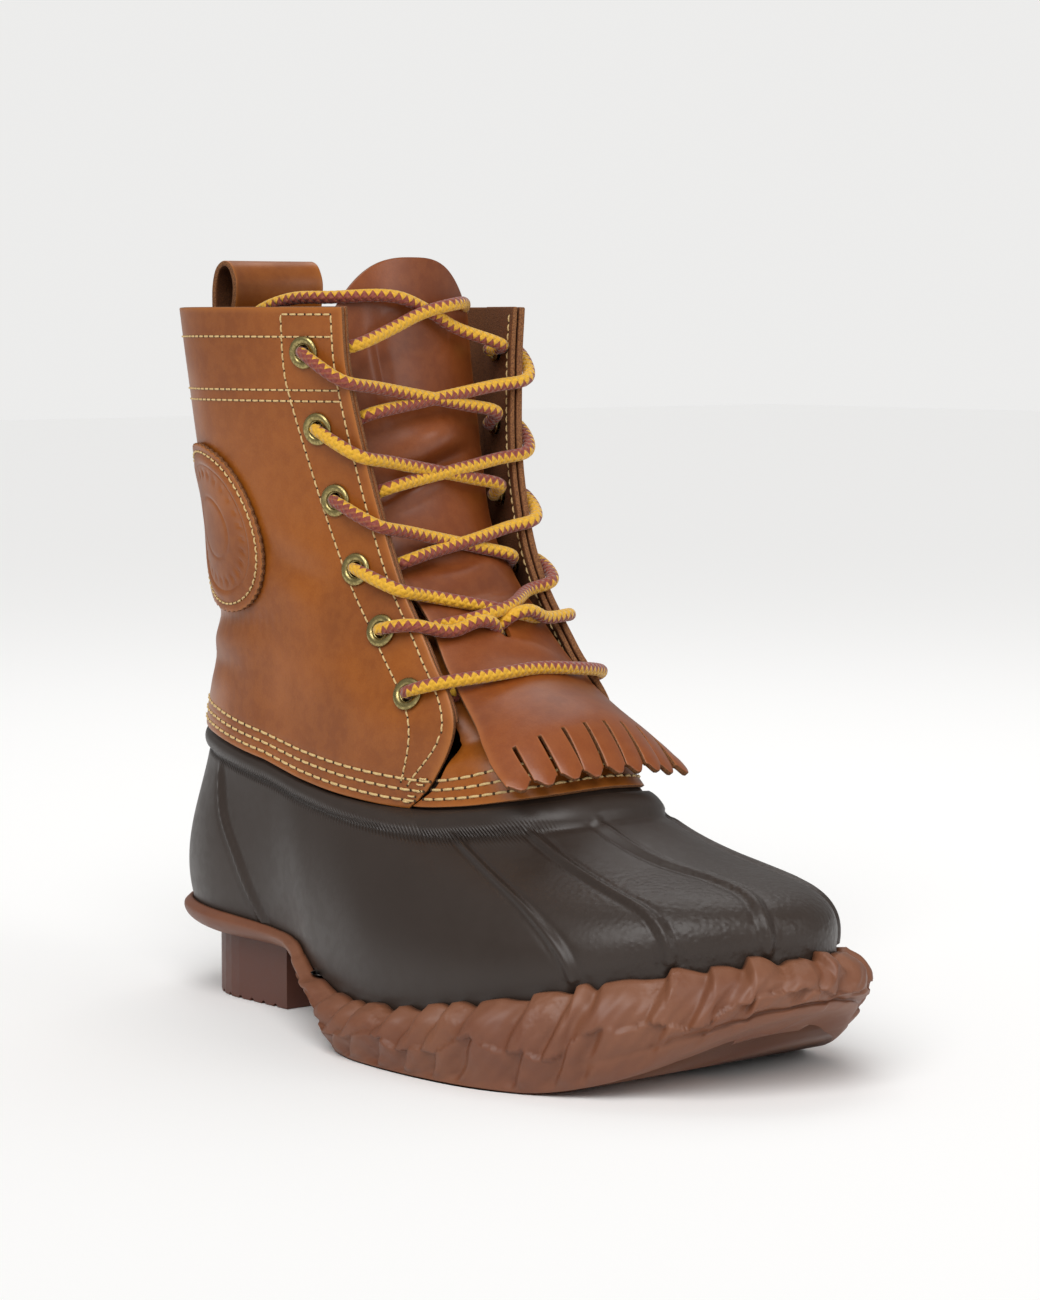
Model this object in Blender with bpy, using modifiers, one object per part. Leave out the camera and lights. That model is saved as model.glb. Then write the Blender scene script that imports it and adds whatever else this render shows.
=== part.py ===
"""A right-foot duck boot: gum rubber sole, moulded rubber shell and a laced leather shaft.

Metres, +Z up. The toe points along -Y and the wearer's right (the lateral side) along -X. The origin is
on the floor, under the middle of the heel block.
"""

import math

import bmesh
import bpy
import numpy as np
from mathutils import Matrix, Vector

# Driving sizes, in metres
FEATHER_LENGTH = 0.2745
FEATHER_START = 0.0016
BALL_WIDTH = 0.1055
SOLE_BOTTOM_HEEL = 0.0215
FOREFOOT_DECK = 0.0075
HEEL_PLATE = 0.0035
LIP_HEIGHT = 0.030
TOE_SPRING = 0.016
TOPLINE_HEIGHT = 0.082
COLLAR_HEIGHT = 0.232
COLLAR_LENGTH = 0.103
COLLAR_WIDTH = 0.100
HEEL_CENTRE = 0.0435
HEEL_BLOCK_LENGTH = 0.059
HEEL_BLOCK_WIDTH = 0.064
HEEL_NOTCH_DEPTH = 0.0011
HEEL_NOTCH_REACH = 0.005
HEEL_NOTCH_PITCH = 0.0066
RIM_OVERHANG = 0.0035
RIM_TUCK = 0.0068
BUMPER_OVERHANG = 0.0075
CHISEL_DEPTH = 0.0016
RUBBER_WALL = 0.0025
LEATHER = 0.0020
FACING_LEATHER = 0.0016
GUSSET_LEATHER = 0.0012
TONGUE_LEATHER = 0.0018
RUBBER_LAP = 0.010
RIB_HEIGHT = 0.0012
LIP_ROLL = 0.0010
INSOLE_THICKNESS = 0.004
GAP = 0.0003
LEATHER_RISE = 0.0008
GUSSET_TOP = 0.80
GUSSET_GAP_TURN = 0.063
GUSSET_INSET = 0.029
GUSSET_DEPTH = 0.0060
GUSSET_DIVE = (0.065, 0.135)
GUSSET_SPREAD = (0.13, 0.32)
TONGUE_TOP = (0.80, 1.00)
FACING_WIDTH = 0.026
BACKSTAY_HEIGHT = 0.052
BACKSTAY_TURN = 0.14
BACKSTAY_ROUND = 0.005
PATCH_RADIUS = 0.028
PATCH_HEIGHT = 0.160
PATCH_TURN = -0.405
OVERLAY_LEATHER = 0.0014
STRAP_WIDTH = 0.038
STRAP_LEATHER = 0.0018
LOOP_RISE = 0.0155
LOOP_DEPTH = 0.0120
LOOP_FOOT = 0.022
TONGUE_WIDTH = 0.056
TONGUE_LENGTH = 0.2025
TONGUE_ROUND = 0.018
FRINGE_DEPTH = 0.019
FRINGE_SLOT = 0.0011
FRINGE_POINT = 0.0030
FRINGE_STRIPS = 9
EYELET_INSET = 0.0145
EYELET_FLANGE = 0.0053
EYELET_BORE = 0.0024
EYELET_BARREL = 0.0030
EYELET_HOLE = 0.0035
EYELET_CROWN = 0.0008
EYELET_ROLL = 0.0012
EYELET_CLINCH = 0.0009
HOLE_DEPTH = 0.012
LACE_RADIUS = 0.0021
LACE_CLEARANCE = 0.0009
TONGUE_CLEARANCE = 0.0013
LACE_STEP = 0.0009
LACE_END_GAP = 0.0036
BAR_RISE = 0.0080
WELD = 0.000001

# Counts of the meshes' columns and rows
HALF_COLUMNS = 32
SHELL_ROWS = 6
SHAFT_ROWS = 8
GUSSET_ROWS = 6
TONGUE_ROWS = 8
EYELET_SEGMENTS = 10
HEEL_ARC_STEPS = 20
CLOUD_ROWS = 60
CLOUD_COLUMNS = 10
NOTCH_SEGMENTS = 6


def table(columns, rows):
    """Columns by name, each a list of floats."""
    names = columns.split()
    return {name: [float(row[k]) for row in rows] for k, name in enumerate(names)}


def read(rows, column, at, key, flat=False):
    """Smooth reading of one column of a table at a value of its key column."""
    xs, ys = rows[key], rows[column]
    at = min(max(at, xs[0]), xs[-1])
    k = min(max(np.searchsorted(xs, at) - 1, 0), len(xs) - 2)

    def slope(i):
        if i == 0:
            return 0.0 if flat else (ys[1] - ys[0]) / (xs[1] - xs[0])
        if i == len(xs) - 1:
            return 0.0 if flat else (ys[-1] - ys[-2]) / (xs[-1] - xs[-2])
        if (ys[i + 1] - ys[i]) * (ys[i] - ys[i - 1]) <= 0:
            return 0.0
        return (ys[i + 1] - ys[i - 1]) / (xs[i + 1] - xs[i - 1])

    span = xs[k + 1] - xs[k]
    t = (at - xs[k]) / span
    return hermite(ys[k], slope(k) * span, ys[k + 1], slope(k + 1) * span, t)


def hermite(p0, m0, p1, m1, t):
    t2, t3 = t * t, t * t * t
    return (2 * t3 - 3 * t2 + 1) * p0 + (t3 - 2 * t2 + t) * m0 + (3 * t2 - 2 * t3) * p1 + (t3 - t2) * m1


# The feather line, where shell and sole meet, by turn: 0 heel, -1 lateral throat, 2 toe, 1 medial throat.
# along is a share of FEATHER_LENGTH from the heel, side a share of half BALL_WIDTH.
FEATHER = table(
    "turn along side",
    [
        (-2.00, 1.000, 0.10),
        (-1.75, 0.978, -0.24),
        (-1.50, 0.930, -0.58),
        (-1.25, 0.850, -0.90),
        (-1.00, 0.725, -1.10),
        (-0.80, 0.565, -1.13),
        (-0.65, 0.420, -0.98),
        (-0.50, 0.280, -0.75),
        (-0.30, 0.125, -0.71),
        (-0.15, 0.034, -0.475),
        (0.00, 0.000, 0.00),
        (0.15, 0.034, 0.465),
        (0.30, 0.125, 0.68),
        (0.50, 0.280, 0.65),
        (0.65, 0.425, 0.68),
        (0.80, 0.580, 0.81),
        (1.00, 0.745, 0.92),
        (1.25, 0.868, 0.86),
        (1.50, 0.945, 0.68),
        (1.75, 0.990, 0.41),
        (2.00, 1.000, 0.10),
    ],
)

# Heights round the boot by turn: lip of the sole as a share of LIP_HEIGHT, topline as a share of
# TOPLINE_HEIGHT, the swell of the shell's side between them, as shares of the rise from lip to topline, how
# far the sole's wall is a bumper, and how far out its foot stands, as a share of the overhang.
AROUND = table(
    "turn lip topline rise lean reach drop bumper foot",
    [
        (0.00, 1.06, 1.12, 0.36, 0.09, 0.30, 0.36, 0.00, 0.55),
        (0.30, 1.04, 1.085, 0.36, 0.09, 0.30, 0.36, 0.00, 0.55),
        (0.50, 0.97, 1.02, 0.38, 0.08, 0.30, 0.36, 0.00, 0.55),
        (0.58, 0.935, 0.99, 0.39, 0.07, 0.32, 0.33, 0.10, 0.60),
        (0.65, 0.71, 0.965, 0.40, 0.06, 0.34, 0.30, 0.45, 0.75),
        (0.80, 0.63, 0.93, 0.44, 0.07, 0.38, 0.24, 1.00, 0.95),
        (1.00, 0.86, 0.91, 0.48, 0.08, 0.40, 0.26, 1.00, 1.05),
        (1.25, 1.12, 0.93, 0.58, 0.10, 0.42, 0.50, 1.00, 0.55),
        (1.50, 1.32, 0.96, 0.64, 0.11, 0.44, 0.66, 1.00, 0.10),
        (1.75, 1.40, 0.985, 0.66, 0.10, 0.44, 0.76, 1.00, -0.10),
        (2.00, 1.42, 1.000, 0.66, 0.10, 0.44, 0.80, 1.00, 0.10),
    ],
)

# Level sections of the shaft from the topline (0) to the collar (1). back, belly, edge and nose are shares
# of COLLAR_LENGTH from the heel: back of the leg, widest point, throat edge and front of the gusset. half
# and side are shares of half COLLAR_WIDTH: at the widest point and at the throat edge.
LEVELS = table(
    "level back belly half edge side nose",
    [
        (0.00, 0.088, 0.718, 0.80, 1.393, 0.70, 1.915),
        (0.06, 0.107, 0.700, 0.79, 1.490, 0.66, 1.790),
        (0.17, 0.166, 0.680, 0.78, 1.568, 0.62, 1.560),
        (0.30, 0.212, 0.650, 0.79, 1.432, 0.57, 1.310),
        (0.45, 0.196, 0.617, 0.82, 1.267, 0.56, 1.090),
        (0.65, 0.180, 0.578, 0.88, 1.150, 0.60, 0.965),
        (0.87, 0.148, 0.549, 0.95, 1.087, 0.69, 0.900),
        (1.00, 0.108, 0.539, 0.97, 1.083, 0.72, 0.870),
    ],
)
SIDE_TURN = 0.5
EDGE_ANGLE = math.radians(24)

# Height of the sole's underside and of its deck along the foot, as shares of FEATHER_LENGTH, of
# SOLE_BOTTOM_HEEL and of TOE_SPRING
SOLE_RUN = table(
    "along arch spring",
    [
        (0.00, 1.00, 0.00),
        (0.32, 1.00, 0.00),
        (0.40, 0.74, 0.00),
        (0.44, 0.58, 0.00),
        (0.47, 0.24, 0.00),
        (0.50, 0.02, 0.00),
        (0.54, 0.00, 0.00),
        (0.80, 0.00, 0.00),
        (0.88, 0.00, 0.24),
        (0.94, 0.00, 0.76),
        (1.00, 0.00, 1.45),
    ],
)

# Eyelet rows from the top down, as shares of COLLAR_HEIGHT
EYELETS = table("height", [(0.9375,), (0.832,), (0.733,), (0.638,), (0.556,), (0.474,)])

LACE_ROWS = len(EYELETS["height"])

# Centre line of the tongue from its fringe tip (0) to its top (1). along is a share of COLLAR_LENGTH,
# height of COLLAR_HEIGHT, half and crown of half TONGUE_WIDTH.
TONGUE = table(
    "run along height half crown",
    [
        (0.000, 1.961, 0.379, 1.30, 0.32),
        (0.046, 1.915, 0.412, 1.29, 0.42),
        (0.092, 1.850, 0.444, 1.25, 0.47),
        (0.152, 1.750, 0.470, 1.15, 0.44),
        (0.228, 1.610, 0.494, 1.00, 0.28),
        (0.302, 1.490, 0.530, 0.90, 0.22),
        (0.399, 1.350, 0.592, 0.80, 0.18),
        (0.548, 1.155, 0.685, 0.86, 0.24),
        (0.689, 1.068, 0.802, 0.96, 0.29),
        (0.836, 1.005, 0.927, 1.00, 0.29),
        (1.000, 0.971, 1.069, 1.00, 0.29),
    ],
)

# Mid line of the pull loop's strap from its rear foot over the top to its front foot. deep is a share of
# LOOP_DEPTH inwards from the wall, up a share of LOOP_RISE above the collar or of LOOP_FOOT below it.
PULL_LOOP = table(
    "step deep up",
    [
        (0, 0.00, -1.00),
        (1, 0.00, -0.45),
        (2, 0.00, 0.00),
        (3, 0.02, 0.45),
        (4, 0.18, 0.80),
        (5, 0.50, 0.94),
        (6, 0.82, 0.82),
        (7, 1.00, 0.45),
        (8, 0.92, 0.00),
        (9, 0.58, -0.40),
        (10, 0.28, -0.70),
        (11, 0.24, -1.00),
    ],
)

RIB_TURNS = (-1.68, -1.34, -0.98, -0.62, -0.20, 0.20, 0.62, 0.98, 1.34, 1.68)


def place(along, side, height):
    """World point from metres along the foot from the heel, metres to the medial side, and height."""
    return Vector((side, HEEL_CENTRE - along, height))


def feather_plan(turn):
    """(along, side) of the feather line at a turn."""
    rows = FEATHER
    turns = rows["turn"]
    turn = (turn + 2.0) % 4.0 - 2.0
    k = min(max(np.searchsorted(turns, turn) - 1, 0), len(turns) - 2)
    last = len(turns) - 1

    def slope(column, i):
        ys = rows[column]
        if i in (0, last):
            return (ys[1] - ys[last - 1]) / (turns[1] - turns[0] + turns[last] - turns[last - 1])
        return (ys[i + 1] - ys[i - 1]) / (turns[i + 1] - turns[i - 1])

    span = turns[k + 1] - turns[k]
    t = (turn - turns[k]) / span
    found = [
        hermite(rows[c][k], slope(c, k) * span, rows[c][k + 1], slope(c, k + 1) * span, t)
        for c in ("along", "side")
    ]
    return FEATHER_START + found[0] * FEATHER_LENGTH, found[1] * BALL_WIDTH / 2


def feather_out(turn, offset):
    """(along, side) of the feather line pushed outwards in plan."""
    step = 0.02
    a0, s0 = feather_plan(turn - step)
    a1, s1 = feather_plan(turn + step)
    length = math.hypot(a1 - a0, s1 - s0)
    along, side = feather_plan(turn)
    return along - (s1 - s0) / length * offset, side + (a1 - a0) / length * offset


def around(column, turn):
    return read(AROUND, column, abs(turn), "turn", flat=True)


def lip_height(turn):
    return around("lip", turn) * LIP_HEIGHT


def topline_height(turn):
    return around("topline", turn) * TOPLINE_HEIGHT


def underside(along):
    share = (along - FEATHER_START) / FEATHER_LENGTH
    arch = read(SOLE_RUN, "arch", share, "along")
    spring = read(SOLE_RUN, "spring", share, "along")
    return max(arch, 0.0) * SOLE_BOTTOM_HEEL + max(spring, 0.0) * TOE_SPRING


def deck(along):
    share = (along - FEATHER_START) / FEATHER_LENGTH
    arch = max(read(SOLE_RUN, "arch", share, "along"), 0.0)
    plate = FOREFOOT_DECK + arch * (HEEL_PLATE - FOREFOOT_DECK)
    return underside(along) + plate


def girth(level, turn):
    """(along, side) of the leg's level section at a turn."""
    row = {c: read(LEVELS, c, level, "level") for c in LEVELS if c != "level"}
    back, belly, edge, nose = (row[c] * COLLAR_LENGTH for c in ("back", "belly", "edge", "nose"))
    half, side = (row[c] * COLLAR_WIDTH / 2 for c in ("half", "side"))
    way = -1.0 if turn < 0 else 1.0
    turn = abs(turn)
    if turn <= SIDE_TURN:
        angle = turn / SIDE_TURN * math.pi / 2
        return belly - (belly - back) * math.cos(angle), way * half * math.sin(angle) ** 0.92
    if turn <= 1.0:
        t = (turn - SIDE_TURN) / (1.0 - SIDE_TURN)
        run = edge - belly
        along = hermite(belly, run, edge, run * math.cos(EDGE_ANGLE), t)
        return along, way * hermite(half, 0.0, side, -run * math.sin(EDGE_ANGLE), t)
    t = turn - 1.0
    lead = max(nose - edge, 0.0) * 1.6
    along = hermite(edge, lead, nose, 0.0, t)
    return along, way * hermite(side, -0.1 * side, 0.0, -2.4 * side, t)


def leg_point(level, turn, offset=0.0):
    """A point of the leg's surface, pushed outwards by offset."""
    top = COLLAR_HEIGHT
    low = topline_height(turn)
    along, side = girth(level, turn)
    height = low + level * (top - low)
    if offset == 0.0:
        return place(along, side, height)
    step = 0.01
    ahead = leg_point(level, turn + step)
    behind = leg_point(level, turn - step)
    above = leg_point(level + step, turn)
    below = leg_point(level - step, turn)
    if level > 1.0 - step:
        above, below = leg_point(1.0, turn), leg_point(1.0 - step, turn)
    if level < step:
        above, below = leg_point(step, turn), leg_point(0.0, turn)
    normal = (above - below).cross(ahead - behind).normalized()
    return place(along, side, height) + normal * offset


def level_at(turn, rise):
    """The level that lies a given rise above the topline."""
    return rise / (COLLAR_HEIGHT - topline_height(turn))


def shell_point(turn, share, offset=0.0):
    """A point of the rubber shell between the lip of the sole (0) and the leather's lower edge (1)."""
    along, side = feather_plan(turn)
    low = place(along, side, lip_height(turn))
    high = leg_point(0.0, turn)
    rise = high.z - low.z
    out = place(*feather_out(turn, around("lean", turn) * rise), 0.0) - place(along, side, 0.0)
    first = low + out + Vector((0, 0, around("rise", turn) * rise))
    reach = (low - high) * around("reach", turn)
    second = high + Vector((reach.x, reach.y, -around("drop", turn) * rise))
    t = share
    point = (1 - t) ** 3 * low + 3 * (1 - t) ** 2 * t * first + 3 * (1 - t) * t * t * second + t ** 3 * high
    if offset == 0.0:
        return point
    step = 0.01
    across = shell_point(turn + step, share) - shell_point(turn - step, share)
    up = shell_point(turn, min(share + step, 1.0)) - shell_point(turn, max(share - step, 0.0))
    return point + up.cross(across).normalized() * offset


def mesh_object(name, points, faces, material, collection):
    mesh = bpy.data.meshes.new(name)
    mesh.from_pydata([tuple(p) for p in points], [], faces)
    mesh.update()
    found = bmesh.new()
    found.from_mesh(mesh)
    bmesh.ops.remove_doubles(found, verts=found.verts, dist=1e-6)
    bmesh.ops.recalc_face_normals(found, faces=found.faces)
    found.to_mesh(mesh)
    found.free()
    mesh.materials.append(material)
    mesh.shade_smooth()
    obj = bpy.data.objects.new(name, mesh)
    collection.objects.link(obj)
    return obj


def grid_faces(rows, columns, closed):
    """Quads of a grid whose rows run round the boot."""
    faces = []
    for r in range(rows - 1):
        for c in range(columns if closed else columns - 1):
            d = (c + 1) % columns
            faces.append((r * columns + c, r * columns + d, (r + 1) * columns + d, (r + 1) * columns + c))
    return faces


def wall(name, rows, closed, thickness, material, collection, offset=1.0):
    """A sheet of points given its thickness: offset 1 grows outwards from the points, -1 inwards."""
    columns = len(rows[0])
    points = [p for row in rows for p in row]
    obj = mesh_object(name, points, grid_faces(len(rows), columns, closed), material, collection)
    face_out(obj)
    solid = obj.modifiers.new("wall", "SOLIDIFY")
    solid.thickness = thickness
    solid.offset = offset
    return obj


def face_out(obj):
    """Turns a sheet's faces away from the boot's axis."""
    mesh = obj.data
    middle = Vector((0, -0.06, 0.08))
    total = sum((f.center - middle).dot(f.normal) * f.area for f in mesh.polygons)
    if total < 0:
        mesh.flip_normals()


def turns_round():
    return [-2.0 + 4.0 * k / (2 * HALF_COLUMNS) for k in range(2 * HALF_COLUMNS)]


def strip_cap(ring, count):
    """Faces across a ring whose columns run from the toe round the heel to the toe."""
    half = count // 2
    faces = []
    for k in range(half):
        a, b = ring + k, ring + k + 1
        c, d = ring + (count - k - 1) % count, ring + (count - k) % count
        if k == 0:
            faces.append((a, b, c))
        elif k == half - 1:
            faces.append((a, b, d))
        else:
            faces.append((a, b, c, d))
    return faces


def chisel(column, ring):
    """Slanted facets of the forefoot wall: a saw of columns that shifts from ring to ring."""
    return CHISEL_DEPTH * (abs(((column + 1.5 * ring) % 4) - 2) - 1)


def sole_ring(turns, ring, out, up):
    """A ring of the sole's wall: out is a share of the overhang and up one of the wall's height."""
    points = []
    for column, turn in enumerate(turns):
        bumper = around("bumper", turn)
        cut = chisel(column, ring)
        over = RIM_OVERHANG + bumper * (BUMPER_OVERHANG - RIM_OVERHANG)
        tuck = RIM_TUCK * (1.0 - bumper) * (1.0 - up) ** 3
        out_here = around("foot", turn) if ring == 0 else out
        along, side = feather_out(turn, over * out_here - tuck + (bumper * cut if 0 < ring < 4 else 0.0))
        low = underside(feather_plan(turn)[0])
        high = lip_height(turn) - 2 * GAP - bumper * (CHISEL_DEPTH + cut)
        points.append(place(along, side, low + up * (high - low)))
    return points


def build_outsole(material, collection):
    """Cup sole: underside, chiselled wall, lip, inner wall and deck."""
    turns = turns_round()
    profile = ((0.0, 0.0), (0.95, 0.22), (1.00, 0.50), (0.92, 0.80), (0.40, 1.0))
    rings = [sole_ring(turns, k, out, up) for k, (out, up) in enumerate(profile)]
    inner = [feather_out(turn, GAP) for turn in turns]
    lip = rings[-1]
    rings.append([place(a, s, p.z) for (a, s), p in zip(inner, lip)])
    rings.append([place(a, s, deck(feather_plan(t)[0])) for (a, s), t in zip(inner, turns)])
    count = len(turns)
    points = [p for ring in rings for p in ring]
    faces = grid_faces(len(rings), count, True)
    faces += strip_cap(0, count) + strip_cap((len(rings) - 1) * count, count)
    return mesh_object("outsole", points, faces, material, collection)


def rib(turn):
    """Height of the shell's ribs at a turn."""
    nearest = min(abs(turn - r) for r in RIB_TURNS)
    return RIB_HEIGHT if nearest < 1.0 / HALF_COLUMNS else 0.0


def build_rubber_shell(material, collection):
    turns = turns_round()
    rows = []
    rows.append([place(*feather_plan(t), deck(feather_plan(t)[0]) + 4 * GAP) for t in turns])
    rows.append([place(*feather_plan(t), lip_height(t)) for t in turns])
    for k in range(1, SHELL_ROWS):
        share = k / SHELL_ROWS
        rows.append([shell_point(t, share, rib(t) * math.sin(math.pi * share) ** 0.5) for t in turns])
    rows.append([shell_point(t, 0.965, LIP_ROLL) for t in turns])
    rows.append([shell_point(t, 1.0) for t in turns])
    rows.append([leg_point(level_at(t, RUBBER_LAP / 2), t) for t in turns])
    rows.append([leg_point(level_at(t, RUBBER_LAP), t) for t in turns])
    return wall("rubber_shell", rows, True, RUBBER_WALL, material, collection, offset=-1.0)


def leg_levels(turn, top, count):
    """Levels of a leg piece at a turn: three over the rubber's lap, then evenly up to its top."""
    lap = level_at(turn, RUBBER_LAP)
    rest = [lap + (top - lap) * k / count for k in range(1, count + 1)]
    return [level_at(turn, LEATHER_RISE), lap / 2, lap] + rest


def leg_rows(turns, top, count, offset):
    columns = [[leg_point(level, t, offset) for level in leg_levels(t, top, count)] for t in turns]
    return [list(row) for row in zip(*columns)]


def build_shaft(material, collection):
    turns = [t for t in turns_round() if abs(t) < 1.0001]
    return wall("shaft", leg_rows(turns, 1.0, SHAFT_ROWS, GAP), False, LEATHER, material, collection)


def ease(ends, at):
    """Smooth step from 0 to 1 between two ends."""
    share = min(max((at - ends[0]) / (ends[1] - ends[0]), 0.0), 1.0)
    return share * share * (3 - 2 * share)


def gusset_point(level, turn, offset):
    """Like leg_point, but above the rubber it leaves the throat's edge and fans out behind the facings."""
    dive = ease(GUSSET_DIVE, level)
    spread = ease(GUSSET_SPREAD, level)
    way = -1.0 if turn < 0 else 1.0
    share = (abs(turn) - 1.0 - GUSSET_GAP_TURN) / (1.0 - GUSSET_GAP_TURN)
    inset = GUSSET_INSET * spread
    start_turn = edge_turn(level, inset) if inset > 0 else 1.0 + GUSSET_GAP_TURN
    start = leg_point(level, way * start_turn, offset - dive * GUSSET_DEPTH)
    nose = leg_point(level, 2.0, offset)
    plain = leg_point(level, turn, offset)
    along, side = HEEL_CENTRE - start.y, start.x
    lead = 1.6 * (HEEL_CENTRE - nose.y - along)
    fan_along = hermite(along, lead, HEEL_CENTRE - nose.y, 0.0, share)
    fan_side = hermite(side, -0.3 * side, 0.0, -1.7 * side, share)
    fan = place(fan_along, fan_side, start.z + (nose.z - start.z) * share)
    return plain.lerp(fan, max(dive, spread))


def build_gusset(material, collection):
    turns = turns_round()
    edge = 1.0 + GUSSET_GAP_TURN
    lateral = [t for t in turns if t < -edge]
    medial = [t for t in turns if t > edge]
    run = [edge] + medial + lateral + [-edge]
    columns = []
    for turn in run:
        columns.append([gusset_point(v, turn, GAP) for v in leg_levels(turn, GUSSET_TOP, GUSSET_ROWS)])
    rows = [list(row) for row in zip(*columns)]
    return wall("gusset", rows, False, GUSSET_LEATHER, material, collection)


def build_insole(material, collection):
    turns = turns_round()
    rings = []
    for thick in (0.0, 1.0):
        ring = []
        for t in turns:
            along, side = feather_out(t, -RUBBER_WALL - 2 * GAP)
            ring.append(place(along, side, deck(along) + 2 * GAP + thick * INSOLE_THICKNESS))
        rings.append(ring)
    count = len(turns)
    faces = grid_faces(2, count, True) + strip_cap(0, count) + strip_cap(count, count)
    return mesh_object("insole", [p for r in rings for p in r], faces, material, collection)


def heel_outline():
    """(along, side) round the heel block: lateral breast corner, round back, medial breast corner."""
    half = HEEL_BLOCK_WIDTH / 2
    breast = HEEL_CENTRE + HEEL_BLOCK_LENGTH / 2
    back = HEEL_CENTRE - HEEL_BLOCK_LENGTH / 2
    outline = [(breast, -half)]
    for k in range(HEEL_ARC_STEPS + 1):
        angle = math.pi * k / HEEL_ARC_STEPS
        outline.append((back + half - half * math.sin(angle), -half * math.cos(angle)))
    outline.append((breast, half))
    return outline


def heel_notches(collection):
    """Cutter of round grooves that run in from the block's lower edge, one pitch apart."""
    outline = [place(a, s, 0.0) for a, s in heel_outline()]
    found = bmesh.new()
    walked, due = 0.0, HEEL_NOTCH_PITCH
    for a, b in zip(outline, outline[1:]):
        step = (b - a).length
        while due < walked + step:
            inward = Vector((b.y - a.y, a.x - b.x, 0)).normalized()
            seat = a.lerp(b, (due - walked) / step)
            bmesh.ops.create_cone(
                found,
                cap_ends=True,
                segments=NOTCH_SEGMENTS,
                radius1=HEEL_NOTCH_DEPTH,
                radius2=HEEL_NOTCH_DEPTH,
                depth=2 * HEEL_NOTCH_REACH,
                matrix=Matrix.Translation(seat) @ inward.to_track_quat("Z", "Y").to_matrix().to_4x4(),
            )
            due += HEEL_NOTCH_PITCH
        walked += step
    mesh = bpy.data.meshes.new("heel_notches")
    found.to_mesh(mesh)
    found.free()
    cutter = bpy.data.objects.new("heel_notches", mesh)
    collection.objects.link(cutter)
    cutter.hide_render = True
    cutter.display_type = "WIRE"
    return cutter


def build_heel_block(material, collection, cutters):
    """Round-backed block under the heel plate, with a straight breast and a notched lower edge."""
    curve = bpy.data.curves.new("heel_block", "CURVE")
    curve.dimensions = "2D"
    curve.fill_mode = "BOTH"
    height = SOLE_BOTTOM_HEEL - GAP
    curve.extrude = height / 2
    outline = [place(a, s, 0.0) for a, s in heel_outline()]
    spline = curve.splines.new("POLY")
    spline.points.add(len(outline) - 1)
    for held, point in zip(spline.points, outline):
        held.co = (*point, 1.0)
    spline.use_cyclic_u = True
    curve.materials.append(material)
    flat = bpy.data.objects.new("heel_block", curve)
    collection.objects.link(flat)
    flat.location.z = height / 2
    bpy.context.view_layer.update()
    block = tube_mesh(flat)
    block.name = "heel_block"
    cut = block.modifiers.new("notches", "BOOLEAN")
    cut.operation = "DIFFERENCE"
    cut.object = heel_notches(cutters)


def edge_turn(level, inset):
    """The turn that lies a surface distance behind the throat's edge."""
    turn, walked = 1.0, 0.0
    last = leg_point(level, turn)
    while walked < inset:
        turn -= 0.002
        here = leg_point(level, turn)
        walked += (here - last).length
        last = here
    return turn


def build_facing(name, way, material, collection):
    """Second leather layer inside the throat's edge, from just above the rubber to the collar."""
    rows = []
    for level in leg_levels(1.0, 1.0, SHAFT_ROWS)[3:]:
        back = edge_turn(level, FACING_WIDTH)
        rows.append([leg_point(level, way * (back + (1.0 - back) * c / 4), -GAP) for c in range(5)])
    return wall(name, rows, False, FACING_LEATHER, material, collection, offset=-1.0)


def build_backstay(material, collection):
    """Leather strip up the back seam, from the topline."""
    turns = [t for t in turns_round() if abs(t) < BACKSTAY_TURN]
    rows = leg_rows(turns, 1.0, SHAFT_ROWS, 2 * GAP + LEATHER)
    top = TOPLINE_HEIGHT + BACKSTAY_HEIGHT
    kept = [row for row in rows if row[0].z < top - GAP]
    above = rows[len(kept)]
    last = []
    for a, b, t in zip(kept[-1], above, turns):
        high = top - BACKSTAY_ROUND * (t / turns[-1]) ** 4
        last.append(a.lerp(b, (high - a.z) / (b.z - a.z)))
    return wall("backstay", kept + [last], False, OVERLAY_LEATHER, material, collection)


def build_patch(material, collection):
    """Round leather patch on the lateral side."""
    level = (PATCH_HEIGHT - topline_height(PATCH_TURN)) / (COLLAR_HEIGHT - topline_height(PATCH_TURN))
    step = 0.01
    per_turn = (leg_point(level, PATCH_TURN + step) - leg_point(level, PATCH_TURN - step)).length / (2 * step)
    per_level = (leg_point(level + step, PATCH_TURN) - leg_point(level - step, PATCH_TURN)).length / (2 * step)
    offset = 3 * GAP + LEATHER
    points = [leg_point(level, PATCH_TURN, offset)]
    segments = 32
    for ring in (1, 2, 3):
        radius = PATCH_RADIUS * ring / 3
        for k in range(segments):
            angle = 2 * math.pi * k / segments
            turn = PATCH_TURN + radius * math.cos(angle) / per_turn
            points.append(leg_point(level + radius * math.sin(angle) / per_level, turn, offset))
    faces = [(0, 1 + k, 1 + (k + 1) % segments) for k in range(segments)]
    for ring in range(2):
        low = 1 + ring * segments
        for k in range(segments):
            n = (k + 1) % segments
            faces.append((low + k, low + segments + k, low + segments + n, low + n))
    obj = mesh_object("side_patch", points, faces, material, collection)
    face_out(obj)
    solid = obj.modifiers.new("wall", "SOLIDIFY")
    solid.thickness = OVERLAY_LEATHER
    solid.offset = 1.0
    return obj


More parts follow.
